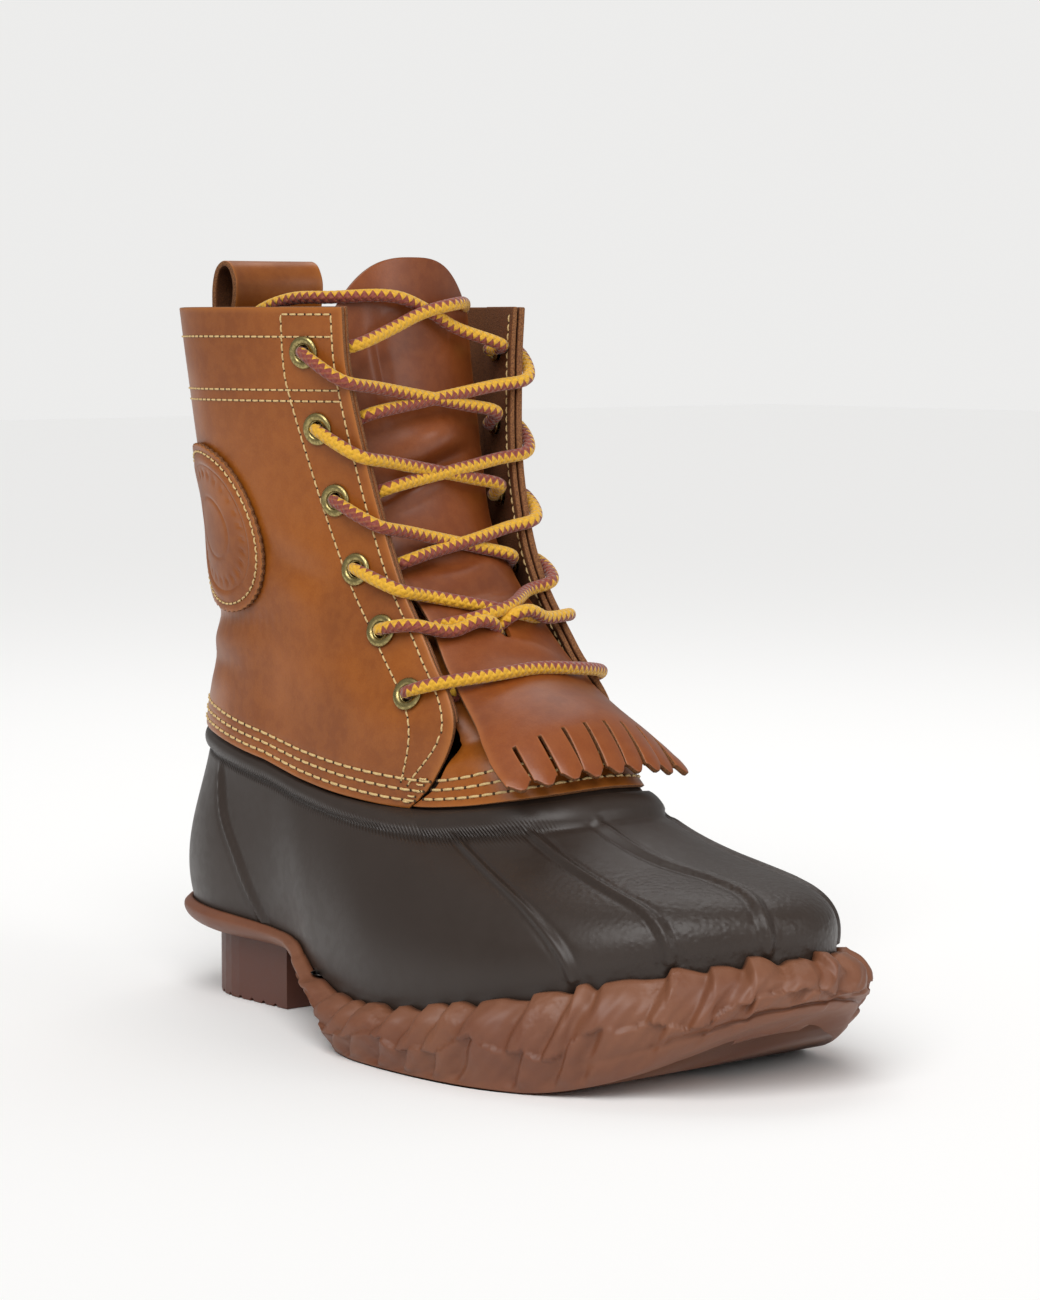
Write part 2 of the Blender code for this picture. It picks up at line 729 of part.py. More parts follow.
def build_pull_loop(material, collection):
    """Strap bent into a loop inside the back of the collar."""
    half = COLLAR_WIDTH / 2 * LEVELS["half"][-1]
    rows = []
    for deep, up in zip(PULL_LOOP["deep"], PULL_LOOP["up"]):
        row = []
        height = up * (LOOP_RISE if up > 0 else LOOP_FOOT)
        for c in range(7):
            side = STRAP_WIDTH * (c / 6 - 0.5)
            turn = math.asin(abs(side / half) ** (1 / 0.92)) * SIDE_TURN * 2 / math.pi
            turn = math.copysign(turn, side)
            level = 1.0 + min(height, 0.0) / (COLLAR_HEIGHT - topline_height(turn))
            point = leg_point(level, turn, -GAP - STRAP_LEATHER / 2)
            row.append(point + Vector((0, -deep * LOOP_DEPTH, max(height, 0.0))))
        rows.append(row)
    return wall("pull_loop", rows, False, STRAP_LEATHER, material, collection, offset=0.0)


def tongue_read(column, run):
    return read(TONGUE, column, run, "run")


def tongue_point(run, across, lift=0.0):
    """A point of the tongue: across goes from -1 to 1, lift is along the outward normal at its centre."""
    step = 0.01
    low, high = max(run - step, 0.0), min(run + step, 1.0)
    along = tongue_read("along", run) * COLLAR_LENGTH
    height = tongue_read("height", run) * COLLAR_HEIGHT
    rise = (tongue_read("height", high) - tongue_read("height", low)) * COLLAR_HEIGHT
    slope = (tongue_read("along", high) - tongue_read("along", low)) * COLLAR_LENGTH
    normal = Vector((0, -rise, -slope)).normalized()
    half = tongue_read("half", run) * TONGUE_WIDTH / 2
    crown = tongue_read("crown", run) * TONGUE_WIDTH / 2
    return place(along, across * half, height) + normal * (lift - crown * across * across)


def build_tongue(material, collection):
    """Tongue whose lower end is cut into a fringe of pointed strips."""
    width = TONGUE["half"][0] * TONGUE_WIDTH
    slot = FRINGE_SLOT / width * 2
    strip = (2.0 - slot * (FRINGE_STRIPS - 1)) / FRINGE_STRIPS
    columns = []
    for k in range(FRINGE_STRIPS):
        left = -1.0 + k * (strip + slot)
        columns += [left, left + strip / 2, left + strip]
    root = FRINGE_DEPTH / TONGUE_LENGTH
    runs = [0.0, root / 2, root] + [root + (1.0 - root) * k / TONGUE_ROWS for k in range(1, TONGUE_ROWS + 1)]
    rows = []
    for r, run in enumerate(runs):
        row = []
        for c, across in enumerate(columns):
            here = run - TONGUE_ROUND / TONGUE_LENGTH * abs(across) ** 3 * ease(TONGUE_TOP, run)
            if r == 0 and c % 3 != 1:
                here = FRINGE_POINT / TONGUE_LENGTH
            row.append(tongue_point(here, across))
        rows.append(row)
    count = len(columns)
    faces = []
    for r in range(len(rows) - 1):
        for c in range(count - 1):
            if r < 2 and c % 3 == 2:
                continue
            a = r * count + c
            faces.append((a, a + 1, a + count + 1, a + count))
    obj = mesh_object("tongue", [p for row in rows for p in row], faces, material, collection)
    face_front(obj)
    solid = obj.modifiers.new("wall", "SOLIDIFY")
    solid.thickness = TONGUE_LEATHER
    solid.offset = 0.0
    return obj


def face_front(obj):
    """Turns a sheet's faces towards the toe."""
    if sum(-f.normal.y * f.area for f in obj.data.polygons) < 0:
        obj.data.flip_normals()


def eyelet_seat(row, way):
    """Centre of an eyelet on the shaft's outer face, and the outward direction there."""
    height = EYELETS["height"][row] * COLLAR_HEIGHT
    low = topline_height(1.0)
    level = (height - low) / (COLLAR_HEIGHT - low)
    turn = way * edge_turn(level, EYELET_INSET)
    seat = leg_point(level, turn, GAP + LEATHER)
    return seat, (seat - leg_point(level, turn, -0.01)).normalized()


def eyelet_mesh(material):
    """Half section: rolled flange outside, barrel through both leathers and a small clinch inside."""
    lift = 2 * GAP
    deep = LEATHER + FACING_LEATHER + 5 * GAP
    clinch = EYELET_BARREL + EYELET_CLINCH
    profile = (
        (EYELET_BORE, EYELET_CROWN / 2),
        (EYELET_BORE + EYELET_ROLL, EYELET_CROWN + lift),
        (EYELET_FLANGE, lift + EYELET_CROWN / 2),
        (EYELET_FLANGE, lift),
        (EYELET_BARREL, lift),
        (EYELET_BARREL, -deep),
        (clinch, -deep),
        (EYELET_BORE, -deep - EYELET_CROWN),
    )
    count = len(profile)
    mesh = bpy.data.meshes.new("eyelet")
    mesh.from_pydata([(r, 0.0, z) for r, z in profile], [(k, (k + 1) % count) for k in range(count)], [])
    mesh.materials.append(material)
    return mesh


def build_eyelets(material, collection):
    mesh = eyelet_mesh(material)
    for side, way in (("lateral", -1), ("medial", 1)):
        for row in range(LACE_ROWS):
            obj = bpy.data.objects.new(f"eyelet_{side}_{row + 1}", mesh)
            collection.objects.link(obj)
            seat, outward = eyelet_seat(row, way)
            obj.rotation_euler = outward.to_track_quat("Z", "Y").to_euler()
            obj.location = seat
            turned = obj.modifiers.new("turned", "SCREW")
            turned.steps = EYELET_SEGMENTS
            turned.render_steps = EYELET_SEGMENTS
            turned.use_merge_vertices = True
            turned.merge_threshold = WELD
            turned.use_normal_calculate = True


def punch_holes(way, targets, collection):
    """Cuts the eyelet holes of one side through the leather pieces given."""
    found = bmesh.new()
    for row in range(LACE_ROWS):
        seat, outward = eyelet_seat(row, way)
        turn = outward.to_track_quat("Z", "Y").to_matrix().to_4x4()
        bmesh.ops.create_cone(
            found,
            cap_ends=True,
            segments=EYELET_SEGMENTS,
            radius1=EYELET_HOLE,
            radius2=EYELET_HOLE,
            depth=HOLE_DEPTH,
            matrix=Matrix.Translation(seat) @ turn,
        )
    mesh = bpy.data.meshes.new("holes")
    found.to_mesh(mesh)
    found.free()
    cutter = bpy.data.objects.new(f"holes_{'lateral' if way < 0 else 'medial'}", mesh)
    collection.objects.link(cutter)
    cutter.hide_render = True
    cutter.display_type = "WIRE"
    for target in targets:
        cut = target.modifiers.new("holes", "BOOLEAN")
        cut.operation = "DIFFERENCE"
        cut.object = cutter


def smooth_path(points, count):
    """Evenly spread points of a smooth curve through the points given."""
    knots = [0.0]
    for a, b in zip(points, points[1:]):
        knots.append(knots[-1] + (b - a).length)
    rows = {"run": knots}
    for axis, name in enumerate("xyz"):
        rows[name] = [p[axis] for p in points]
    found = []
    for k in range(count):
        at = knots[-1] * k / (count - 1)
        found.append(Vector([read(rows, name, at, "run") for name in "xyz"]))
    return found


def tube(name, points, radius, material, collection):
    """Round cord along points, as a curve with filled caps."""
    curve = bpy.data.curves.new(name, "CURVE")
    curve.dimensions = "3D"
    curve.bevel_depth = radius
    curve.bevel_resolution = 2
    curve.use_fill_caps = True
    spline = curve.splines.new("POLY")
    spline.points.add(len(points) - 1)
    for held, point in zip(spline.points, points):
        held.co = (*point, 1.0)
    curve.materials.append(material)
    obj = bpy.data.objects.new(name, curve)
    collection.objects.link(obj)
    return obj


def tube_mesh(obj):
    """The curve object made a mesh, with its caps welded."""
    graph = bpy.context.evaluated_depsgraph_get()
    mesh = bpy.data.meshes.new_from_object(obj.evaluated_get(graph))
    found = bmesh.new()
    found.from_mesh(mesh)
    bmesh.ops.remove_doubles(found, verts=found.verts, dist=1e-6)
    found.to_mesh(mesh)
    found.free()
    made = bpy.data.objects.new(obj.name, mesh)
    made.matrix_world = obj.matrix_world
    for collection in obj.users_collection:
        collection.objects.link(made)
    bpy.data.objects.remove(obj, do_unlink=True)
    return made


def front_of_tongue(height):
    """Distance along the foot at which a lace clears the tongue's centre and the throat's edges."""
    tongue = read(TONGUE, "along", height / COLLAR_HEIGHT, "height") * COLLAR_LENGTH
    level = (height - topline_height(1.0)) / (COLLAR_HEIGHT - topline_height(1.0))
    edge = read(LEVELS, "edge", level, "level") * COLLAR_LENGTH
    return max(tongue + TONGUE_LEATHER / 2 + LACE_RADIUS + LACE_CLEARANCE, edge + LACE_RADIUS / 2)


def tongue_cloud():
    """Points spread over the tongue, and the outward direction at each, as two arrays of rows."""
    points, normals = [], []
    step = 0.01
    for r in range(CLOUD_ROWS + 1):
        run = step + (1.0 - 2 * step) * r / CLOUD_ROWS
        for c in range(-CLOUD_COLUMNS, CLOUD_COLUMNS + 1):
            across = c / CLOUD_COLUMNS
            up = tongue_point(run + step, across) - tongue_point(run - step, across)
            side = tongue_point(run, across + step) - tongue_point(run, across - step)
            points.append(tongue_point(run, across))
            normals.append(up.cross(side).normalized() * -1.0)
    return np.array(points), np.array(normals)


def clear_of_tongue(points, cloud, lift):
    """The points, moved off the tongue where they lie nearer to it than a lace's radius and a lift."""
    places, normals = cloud
    need = TONGUE_LEATHER / 2 + LACE_RADIUS + lift
    found = []
    for point in points:
        offsets = np.array(point) - places
        k = int(np.argmin((offsets**2).sum(axis=1)))
        off = float(offsets[k] @ normals[k])
        beside = np.linalg.norm(offsets[k] - off * normals[k])
        if beside < LACE_RADIUS and off < need:
            point = point + Vector(normals[k] * (need - off))
        found.append(point)
    return found


def lace_start(row, way, drop):
    """Three points over an eyelet's flange and round the throat's edge beside it."""
    seat, outward = eyelet_seat(row, way)
    low = topline_height(1.0)
    clear = LACE_RADIUS + LACE_CLEARANCE
    over = seat + outward * (EYELET_CROWN + 3 * GAP + clear)
    level = (seat.z - 0.35 * drop - low) / (COLLAR_HEIGHT - low)
    lip = leg_point(level, way, GAP + LEATHER + clear)
    ahead = lip - leg_point(level, way * 0.97, GAP + LEATHER + clear)
    return [over, lip, lip + ahead.normalized() * (clear + LACE_CLEARANCE)]


def lace_path(row, way):
    """From over an eyelet across the throat to beside the opposite eyelet of the next row down."""
    height = EYELETS["height"][row] * COLLAR_HEIGHT
    if row == LACE_ROWS - 1:
        high = height + BAR_RISE
        middle = place(front_of_tongue(high) + LACE_CLEARANCE, 0.0, high)
        return lace_start(row, way, -BAR_RISE) + [middle] + lace_start(row, -way, -BAR_RISE)[::-1]
    next_height = EYELETS["height"][row + 1] * COLLAR_HEIGHT
    drop = height - next_height
    middle_height = height - drop * (0.55 if row < LACE_ROWS - 2 else 0.10)
    middle = place(front_of_tongue(middle_height) + way * LACE_STEP, 0.0, middle_height)
    low = topline_height(1.0)
    level = (next_height + 0.2 * drop - low) / (COLLAR_HEIGHT - low)
    edge = leg_point(level, -way, 0.0)
    end = edge + Vector((way * (LACE_RADIUS + LACE_END_GAP), 0, 0))
    return lace_start(row, way, drop) + [middle, end]


def build_laces(material, collection):
    """One crossing for each pair of eyelets but the lowest, which has a straight bar."""
    last = LACE_ROWS - 1
    cloud = tongue_cloud()
    for row in range(last):
        strands = []
        for way in (-1, 1):
            lift = TONGUE_CLEARANCE + (1 + way) * LACE_STEP
            points = clear_of_tongue(smooth_path(lace_path(row, way), 11), cloud, lift)
            strands.append(tube_mesh(tube(f"lace_crossing_{row + 1}", points, LACE_RADIUS, material, collection)))
        first, second = strands
        joined = first.modifiers.new("joined", "BOOLEAN")
        joined.operation = "UNION"
        joined.object = second
        graph = bpy.context.evaluated_depsgraph_get()
        mesh = bpy.data.meshes.new_from_object(first.evaluated_get(graph))
        first.modifiers.clear()
        first.data = mesh
        bpy.data.objects.remove(second, do_unlink=True)
        first.name = f"lace_crossing_{row + 1}"
    points = clear_of_tongue(smooth_path(lace_path(last, -1), 14), cloud, TONGUE_CLEARANCE)
    tube("lace_bar", points, LACE_RADIUS, material, collection)


def finish(name, colour, roughness, metallic=0.0):
    material = bpy.data.materials.new(name)
    material.use_nodes = True
    shader = material.node_tree.nodes["Principled BSDF"]
    shader.inputs["Base Color"].default_value = (*colour, 1.0)
    shader.inputs["Roughness"].default_value = roughness
    shader.inputs["Metallic"].default_value = metallic
    return material


def main():
    for obj in list(bpy.data.objects):
        bpy.data.objects.remove(obj, do_unlink=True)
    boot = bpy.data.collections.new("duck_boot")
    bpy.context.scene.collection.children.link(boot)
    cutters = bpy.data.collections.new("cutters")
    bpy.context.scene.collection.children.link(cutters)
    gum = finish("gum_rubber", (0.20, 0.085, 0.045), 0.55)
    heel = finish("heel_rubber", (0.09, 0.03, 0.018), 0.5)
    brown = finish("brown_rubber", (0.035, 0.025, 0.02), 0.45)
    tan = finish("tan_leather", (0.27, 0.10, 0.025), 0.45)
    dark = finish("dark_leather", (0.16, 0.05, 0.015), 0.5)
    brass = finish("antique_brass", (0.35, 0.27, 0.13), 0.35, metallic=1.0)
    cord = finish("yellow_cord", (0.62, 0.38, 0.03), 0.7)
    build_outsole(gum, boot)
    build_heel_block(heel, boot, cutters)
    build_rubber_shell(brown, boot)
    build_insole(dark, boot)
    shaft = build_shaft(tan, boot)
    build_gusset(dark, boot)
    for side, way in (("lateral", -1), ("medial", 1)):
        facing = build_facing(f"facing_{side}", way, tan, boot)
        punch_holes(way, (shaft, facing), cutters)
    build_backstay(tan, boot)
    build_patch(tan, boot)
    build_pull_loop(tan, boot)
    build_tongue(tan, boot)
    build_eyelets(brass, boot)
    build_laces(cord, boot)


main()
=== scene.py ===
"""Looks of a right-foot duck boot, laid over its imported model.

Metres, +Z up. The toe points along -Y and the wearer's right (the lateral side) along -X.
"""

from __future__ import annotations

import logging
import math
from dataclasses import dataclass
from enum import Enum
from typing import Callable, Sequence

import bmesh
import bpy
import numpy as np
from bpy.types import Material, Node, NodeSocket, NodeTree, Object
from mathutils import Matrix, Vector

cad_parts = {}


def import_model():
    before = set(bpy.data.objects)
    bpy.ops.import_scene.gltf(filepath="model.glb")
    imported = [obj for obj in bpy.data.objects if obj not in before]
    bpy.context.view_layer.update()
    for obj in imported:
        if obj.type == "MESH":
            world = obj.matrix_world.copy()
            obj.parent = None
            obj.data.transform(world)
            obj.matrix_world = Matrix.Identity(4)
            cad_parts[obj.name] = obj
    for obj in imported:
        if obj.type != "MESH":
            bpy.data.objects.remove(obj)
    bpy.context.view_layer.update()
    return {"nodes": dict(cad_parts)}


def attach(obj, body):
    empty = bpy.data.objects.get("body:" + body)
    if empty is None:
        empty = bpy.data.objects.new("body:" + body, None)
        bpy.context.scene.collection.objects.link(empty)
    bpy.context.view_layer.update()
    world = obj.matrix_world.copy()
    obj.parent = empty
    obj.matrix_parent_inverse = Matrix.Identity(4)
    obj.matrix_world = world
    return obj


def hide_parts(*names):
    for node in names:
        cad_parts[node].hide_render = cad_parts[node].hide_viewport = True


Array = np.ndarray
Colour = tuple[float, float, float, float]
# A row of stitches: their middles, forward directions and outward directions.
Row = tuple[Array, Array, Array]
LOG = logging.getLogger("boot")
# Heights above the rubber of the three rows of stitches round the leather's foot.
FOOT_ROWS = (0.0034, 0.0066, 0.0098)
# Height above the topline at which the leather's pieces begin.
LEATHER_START = 0.0008


class Side(Enum):
    """Side of the boot, by the sign of its turns."""

    LATERAL = -1
    MEDIAL = 1


class Slot(Enum):
    """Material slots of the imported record."""

    GUM = "gum_rubber"
    HEEL = "heel_rubber"
    BROWN = "brown_rubber"
    TAN = "tan_leather"
    DARK = "dark_leather"
    BRASS = "antique_brass"
    CORD = "yellow_cord"


def hermite(p0: Array, m0: Array, p1: Array, m1: Array, t: Array) -> Array:
    """Cubic between two values with given end slopes."""
    t2, t3 = t * t, t * t * t
    return (2 * t3 - 3 * t2 + 1) * p0 + (t3 - 2 * t2 + t) * m0 + (3 * t2 - 2 * t3) * p1 + (t3 - t2) * m1


def ease(low: float, high: float, at: Array) -> Array:
    """Smooth step from 0 at low to 1 at high."""
    share = np.clip((np.asarray(at, float) - low) / (high - low), 0.0, 1.0)
    return share * share * (3 - 2 * share)


def unit(rows: Array) -> Array:
    """Vectors along the last axis, scaled to length one."""
    return rows / (np.linalg.norm(rows, axis=-1, keepdims=True) + 1e-12)


def hump(distance: Array, width: float) -> Array:
    """Bell of height one that fades over a width."""
    return np.exp(-((distance / width) ** 2))


def walk(line: Array) -> Array:
    """Distance walked to each point of a line."""
    return np.concatenate([[0.0], np.cumsum(np.linalg.norm(np.diff(line, axis=0), axis=1))])


def read_along(at: Array, walked: Array, rows: Array) -> Array:
    """Vectors read off at distances along a line."""
    return np.stack([np.interp(at, walked, rows[:, k]) for k in range(3)], 1)


class Table:
    """Named columns of numbers, read smoothly between their rows."""

    def __init__(self, columns: str, rows: Sequence[Sequence[float]]) -> None:
        self.names = columns.split()
        self.values = np.array(rows, float)

    def column(self, name: str) -> Array:
        """One column as an array."""
        return self.values[:, self.names.index(name)]

    def read(self, name: str, key: str, at: Array, flat: bool = False) -> Array:
        """Smooth reading of a column.

        Args:
            name: The column to read.
            key: The column that rises from row to row.
            at: Values of the key column.
            flat: Whether the ends are level.

        Returns:
            The column's values there.
        """
        xs, ys = self.column(key), self.column(name)
        steps = np.diff(ys) / np.diff(xs)
        slopes = np.zeros(len(xs))
        slopes[1:-1] = (ys[2:] - ys[:-2]) / (xs[2:] - xs[:-2])
        slopes[1:-1][steps[1:] * steps[:-1] <= 0] = 0.0
        if not flat:
            slopes[0], slopes[-1] = steps[0], steps[-1]
        return self._between(xs, ys, slopes, np.clip(at, xs[0], xs[-1]))

    def read_round(self, name: str, key: str, at: Array) -> Array:
        """Smooth reading of a column whose key runs once round from -2 to 2."""
        xs, ys = self.column(key), self.column(name)
        slopes = np.zeros(len(xs))
        slopes[1:-1] = (ys[2:] - ys[:-2]) / (xs[2:] - xs[:-2])
        slopes[0] = slopes[-1] = (ys[1] - ys[-2]) / (xs[1] - xs[0] + xs[-1] - xs[-2])
        return self._between(xs, ys, slopes, (np.asarray(at, float) + 2.0) % 4.0 - 2.0)

    @staticmethod
    def _between(xs: Array, ys: Array, slopes: Array, at: Array) -> Array:
        k = np.clip(np.searchsorted(xs, at) - 1, 0, len(xs) - 2)
        span = xs[k + 1] - xs[k]
        return hermite(ys[k], slopes[k] * span, ys[k + 1], slopes[k + 1] * span, (at - xs[k]) / span)


# The feather line, where shell and sole meet, by turn: 0 heel, -1 lateral throat, 2 toe, 1 medial throat.
FEATHER = Table(
    "turn along side",
    [
        (-2.00, 1.000, 0.10),
        (-1.75, 0.978, -0.24),
        (-1.50, 0.930, -0.58),
        (-1.25, 0.850, -0.90),
        (-1.00, 0.725, -1.10),
        (-0.80, 0.565, -1.13),
        (-0.65, 0.420, -0.98),
        (-0.50, 0.280, -0.75),
        (-0.30, 0.125, -0.71),
        (-0.15, 0.034, -0.475),
        (0.00, 0.000, 0.00),
        (0.15, 0.034, 0.465),
        (0.30, 0.125, 0.68),
        (0.50, 0.280, 0.65),
        (0.65, 0.425, 0.68),
        (0.80, 0.580, 0.81),
        (1.00, 0.745, 0.92),
        (1.25, 0.868, 0.86),
        (1.50, 0.945, 0.68),
        (1.75, 0.990, 0.41),
        (2.00, 1.000, 0.10),
    ],
)
# Heights and swells round the boot, by the size of the turn.
AROUND = Table(
    "turn lip topline rise lean reach drop bumper foot",
    [
        (0.00, 1.06, 1.12, 0.36, 0.09, 0.30, 0.36, 0.00, 0.55),
        (0.30, 1.04, 1.085, 0.36, 0.09, 0.30, 0.36, 0.00, 0.55),
        (0.50, 0.97, 1.02, 0.38, 0.08, 0.30, 0.36, 0.00, 0.55),
        (0.58, 0.935, 0.99, 0.39, 0.07, 0.32, 0.33, 0.10, 0.60),
        (0.65, 0.71, 0.965, 0.40, 0.06, 0.34, 0.30, 0.45, 0.75),
        (0.80, 0.63, 0.93, 0.44, 0.07, 0.38, 0.24, 1.00, 0.95),
        (1.00, 0.86, 0.91, 0.48, 0.08, 0.40, 0.26, 1.00, 1.05),
        (1.25, 1.12, 0.93, 0.58, 0.10, 0.42, 0.50, 1.00, 0.55),
        (1.50, 1.32, 0.96, 0.64, 0.11, 0.44, 0.66, 1.00, 0.10),
        (1.75, 1.40, 0.985, 0.66, 0.10, 0.44, 0.76, 1.00, -0.10),
        (2.00, 1.42, 1.000, 0.66, 0.10, 0.44, 0.80, 1.00, 0.10),
    ],
)
# Level sections of the shaft from the topline (0) to the collar (1).
LEVELS = Table(
    "level back belly half edge side nose",
    [
        (0.00, 0.088, 0.718, 0.80, 1.393, 0.70, 1.915),
        (0.06, 0.107, 0.700, 0.79, 1.490, 0.66, 1.790),
        (0.17, 0.166, 0.680, 0.78, 1.568, 0.62, 1.560),
        (0.30, 0.212, 0.650, 0.79, 1.432, 0.57, 1.310),
        (0.45, 0.196, 0.617, 0.82, 1.267, 0.56, 1.090),
        (0.65, 0.180, 0.578, 0.88, 1.150, 0.60, 0.965),
        (0.87, 0.148, 0.549, 0.95, 1.087, 0.69, 0.900),
        (1.00, 0.108, 0.539, 0.97, 1.083, 0.72, 0.870),
    ],
)
# Height of the sole's underside along the foot.
SOLE_RUN = Table(
    "along arch spring",
    [
        (0.00, 1.00, 0.00),
        (0.32, 1.00, 0.00),
        (0.40, 0.74, 0.00),
        (0.44, 0.58, 0.00),
        (0.47, 0.24, 0.00),
        (0.50, 0.02, 0.00),
        (0.54, 0.00, 0.00),
        (0.80, 0.00, 0.00),
        (0.88, 0.00, 0.24),
        (0.94, 0.00, 0.76),
        (1.00, 0.00, 1.45),
    ],
)
# Centre line of the tongue from its fringe tip (0) to its top (1).
TONGUE = Table(
    "run along height half crown",
    [
        (0.000, 1.961, 0.379, 1.30, 0.32),
        (0.046, 1.915, 0.412, 1.29, 0.42),
        (0.092, 1.850, 0.444, 1.25, 0.47),
        (0.152, 1.750, 0.470, 1.15, 0.44),
        (0.228, 1.610, 0.494, 1.00, 0.28),
        (0.302, 1.490, 0.530, 0.90, 0.22),
        (0.399, 1.350, 0.592, 0.80, 0.18),
        (0.548, 1.155, 0.685, 0.86, 0.24),
        (0.689, 1.068, 0.802, 0.96, 0.29),
        (0.836, 1.005, 0.927, 1.00, 0.29),
        (1.000, 0.971, 1.069, 1.00, 0.29),
    ],
)
# Mid line of the pull loop's strap from its rear foot over the top to its front foot.
PULL_LOOP = Table(
    "step deep up",
    [
        (0, 0.00, -1.00),
        (1, 0.00, -0.45),
        (2, 0.00, 0.00),
        (3, 0.02, 0.45),
        (4, 0.18, 0.80),
        (5, 0.50, 0.94),
        (6, 0.82, 0.82),
        (7, 1.00, 0.45),
        (8, 0.92, 0.00),
        (9, 0.58, -0.40),
        (10, 0.28, -0.70),
        (11, 0.24, -1.00),
    ],
)


@dataclass(frozen=True)
class Last:
    """The boot's surfaces by turn and level, worked out from its sizes."""

    feather_length: float = 0.2745
    feather_start: float = 0.0016
    ball_width: float = 0.1055
    sole_bottom_heel: float = 0.0215
    forefoot_deck: float = 0.0075
    heel_plate: float = 0.0035
    lip: float = 0.030
    toe_spring: float = 0.016
    topline: float = 0.082
    collar_height: float = 0.232
    collar_length: float = 0.103
    collar_width: float = 0.100
    heel_centre: float = 0.0435
    tongue_width: float = 0.056
    rubber_lap: float = 0.010
    gap: float = 0.0003
    leather: float = 0.0020
    # Section of the leg: turn of its widest place, and how the curves run into the throat and the nose.
    belly_turn: float = 0.5
    back_fullness: float = 0.92
    edge_tilt: float = math.radians(24)
    nose_lead: float = 1.6
    nose_slopes: tuple[float, float] = (-0.1, -2.4)
    step: float = 0.01

    def place(self, along: Array, side: Array, height: Array) -> Array:
        """World points from metres along the foot, to the medial side, and up."""
        return np.stack(np.broadcast_arrays(side, self.heel_centre - along, height), axis=-1)

    def feather(self, turn: Array, offset: Array = 0.0) -> tuple[Array, Array]:
        """(along, side) of the feather line, pushed outwards in plan by an offset."""

        def plain(at: Array) -> tuple[Array, Array]:
            along = self.feather_start + FEATHER.read_round("along", "turn", at) * self.feather_length
            return along, FEATHER.read_round("side", "turn", at) * self.ball_width / 2

        turn = np.asarray(turn, float)
        along, side = plain(turn)
        (a0, s0), (a1, s1) = plain(turn - 0.02), plain(turn + 0.02)
        length = np.hypot(a1 - a0, s1 - s0)
        return along - (s1 - s0) / length * offset, side + (a1 - a0) / length * offset

    def around(self, name: str, turn: Array) -> Array:
        """A column of the round table."""
        return AROUND.read(name, "turn", np.abs(turn), flat=True)

    def lip_height(self, turn: Array) -> Array:
        """Height of the sole's lip."""
        return self.around("lip", turn) * self.lip

    def topline_height(self, turn: Array) -> Array:
        """Height of the leather's lower edge."""
        return self.around("topline", turn) * self.topline

    def underside(self, along: Array) -> Array:
        """Height of the sole's underside."""
        share = (along - self.feather_start) / self.feather_length
        arch = np.maximum(SOLE_RUN.read("arch", "along", share), 0.0)
        spring = np.maximum(SOLE_RUN.read("spring", "along", share), 0.0)
        return arch * self.sole_bottom_heel + spring * self.toe_spring

    def deck(self, along: Array) -> Array:
        """Height of the sole's deck."""
        share = (along - self.feather_start) / self.feather_length
        arch = np.maximum(SOLE_RUN.read("arch", "along", share), 0.0)
        return self.underside(along) + self.forefoot_deck + arch * (self.heel_plate - self.forefoot_deck)

    def girth(self, level: Array, turn: Array) -> tuple[Array, Array]:
        """(along, side) of the leg's level section."""
        level, turn = np.broadcast_arrays(np.asarray(level, float), np.asarray(turn, float))
        back, belly, edge, nose = (
            LEVELS.read(c, "level", level) * self.collar_length for c in ("back", "belly", "edge", "nose")
        )
        half, side = (LEVELS.read(c, "level", level) * self.collar_width / 2 for c in ("half", "side"))
        size = np.abs(turn)
        angle = np.clip(size / self.belly_turn, 0, 1) * math.pi / 2
        u = np.clip((size - self.belly_turn) / (1 - self.belly_turn), 0, 1)
        v = np.clip(size - 1.0, 0, 1)
        run = edge - belly
        lead = np.maximum(nose - edge, 0.0) * self.nose_lead
        first, last = self.nose_slopes
        behind = size <= self.belly_turn
        flank_along = hermite(belly, run, edge, run * math.cos(self.edge_tilt), u)
        flank_across = hermite(half, 0.0, side, -run * math.sin(self.edge_tilt), u)
        along = np.where(behind, belly - (belly - back) * np.cos(angle), flank_along)
        across = np.where(behind, half * np.sin(angle) ** self.back_fullness, flank_across)
        along = np.where(size > 1.0, hermite(edge, lead, nose, 0.0, v), along)
        across = np.where(size > 1.0, hermite(side, first * side, 0.0, last * side, v), across)
        return along, np.where(turn < 0, -across, across)

    def leg(self, level: Array, turn: Array, offset: Array = 0.0) -> Array:
        """Points of the leg's surface, pushed outwards."""
        return self._leg(level, turn) + self.leg_normal(level, turn) * np.asarray(offset)[..., None]

    def _leg(self, level: Array, turn: Array) -> Array:
        along, side = self.girth(level, turn)
        low = self.topline_height(turn)
        return self.place(along, side, low + level * (self.collar_height - low))

    def leg_normal(self, level: Array, turn: Array) -> Array:
        """Outward directions of the leg's surface."""
        step = self.step
        above, below = np.clip(level + step, step, 1.0), np.clip(level - step, 0.0, 1 - step)
        up = self._leg(above, turn) - self._leg(below, turn)
        ahead = self._leg(level, turn + step) - self._leg(level, turn - step)
        return unit(np.cross(up, ahead))

    def leg_grid(self, turns: Array, low: Array, high: Array, shares: Array) -> tuple[Array, Array]:
        """Levels and turns of a grid on the leg, by shares of the way from low to high levels."""
        level = low[None, :] + (high - low)[None, :] * shares[:, None]
        return level, np.repeat(turns[None, :], len(shares), 0)

    def level_at(self, turn: Array, rise: Array) -> Array:
        """The level that lies a rise above the topline."""
        return rise / (self.collar_height - self.topline_height(turn))

    def level_of(self, turn: Array, height: Array) -> Array:
        """The level that lies at a height above the floor."""
        low = self.topline_height(turn)
        return (height - low) / (self.collar_height - low)

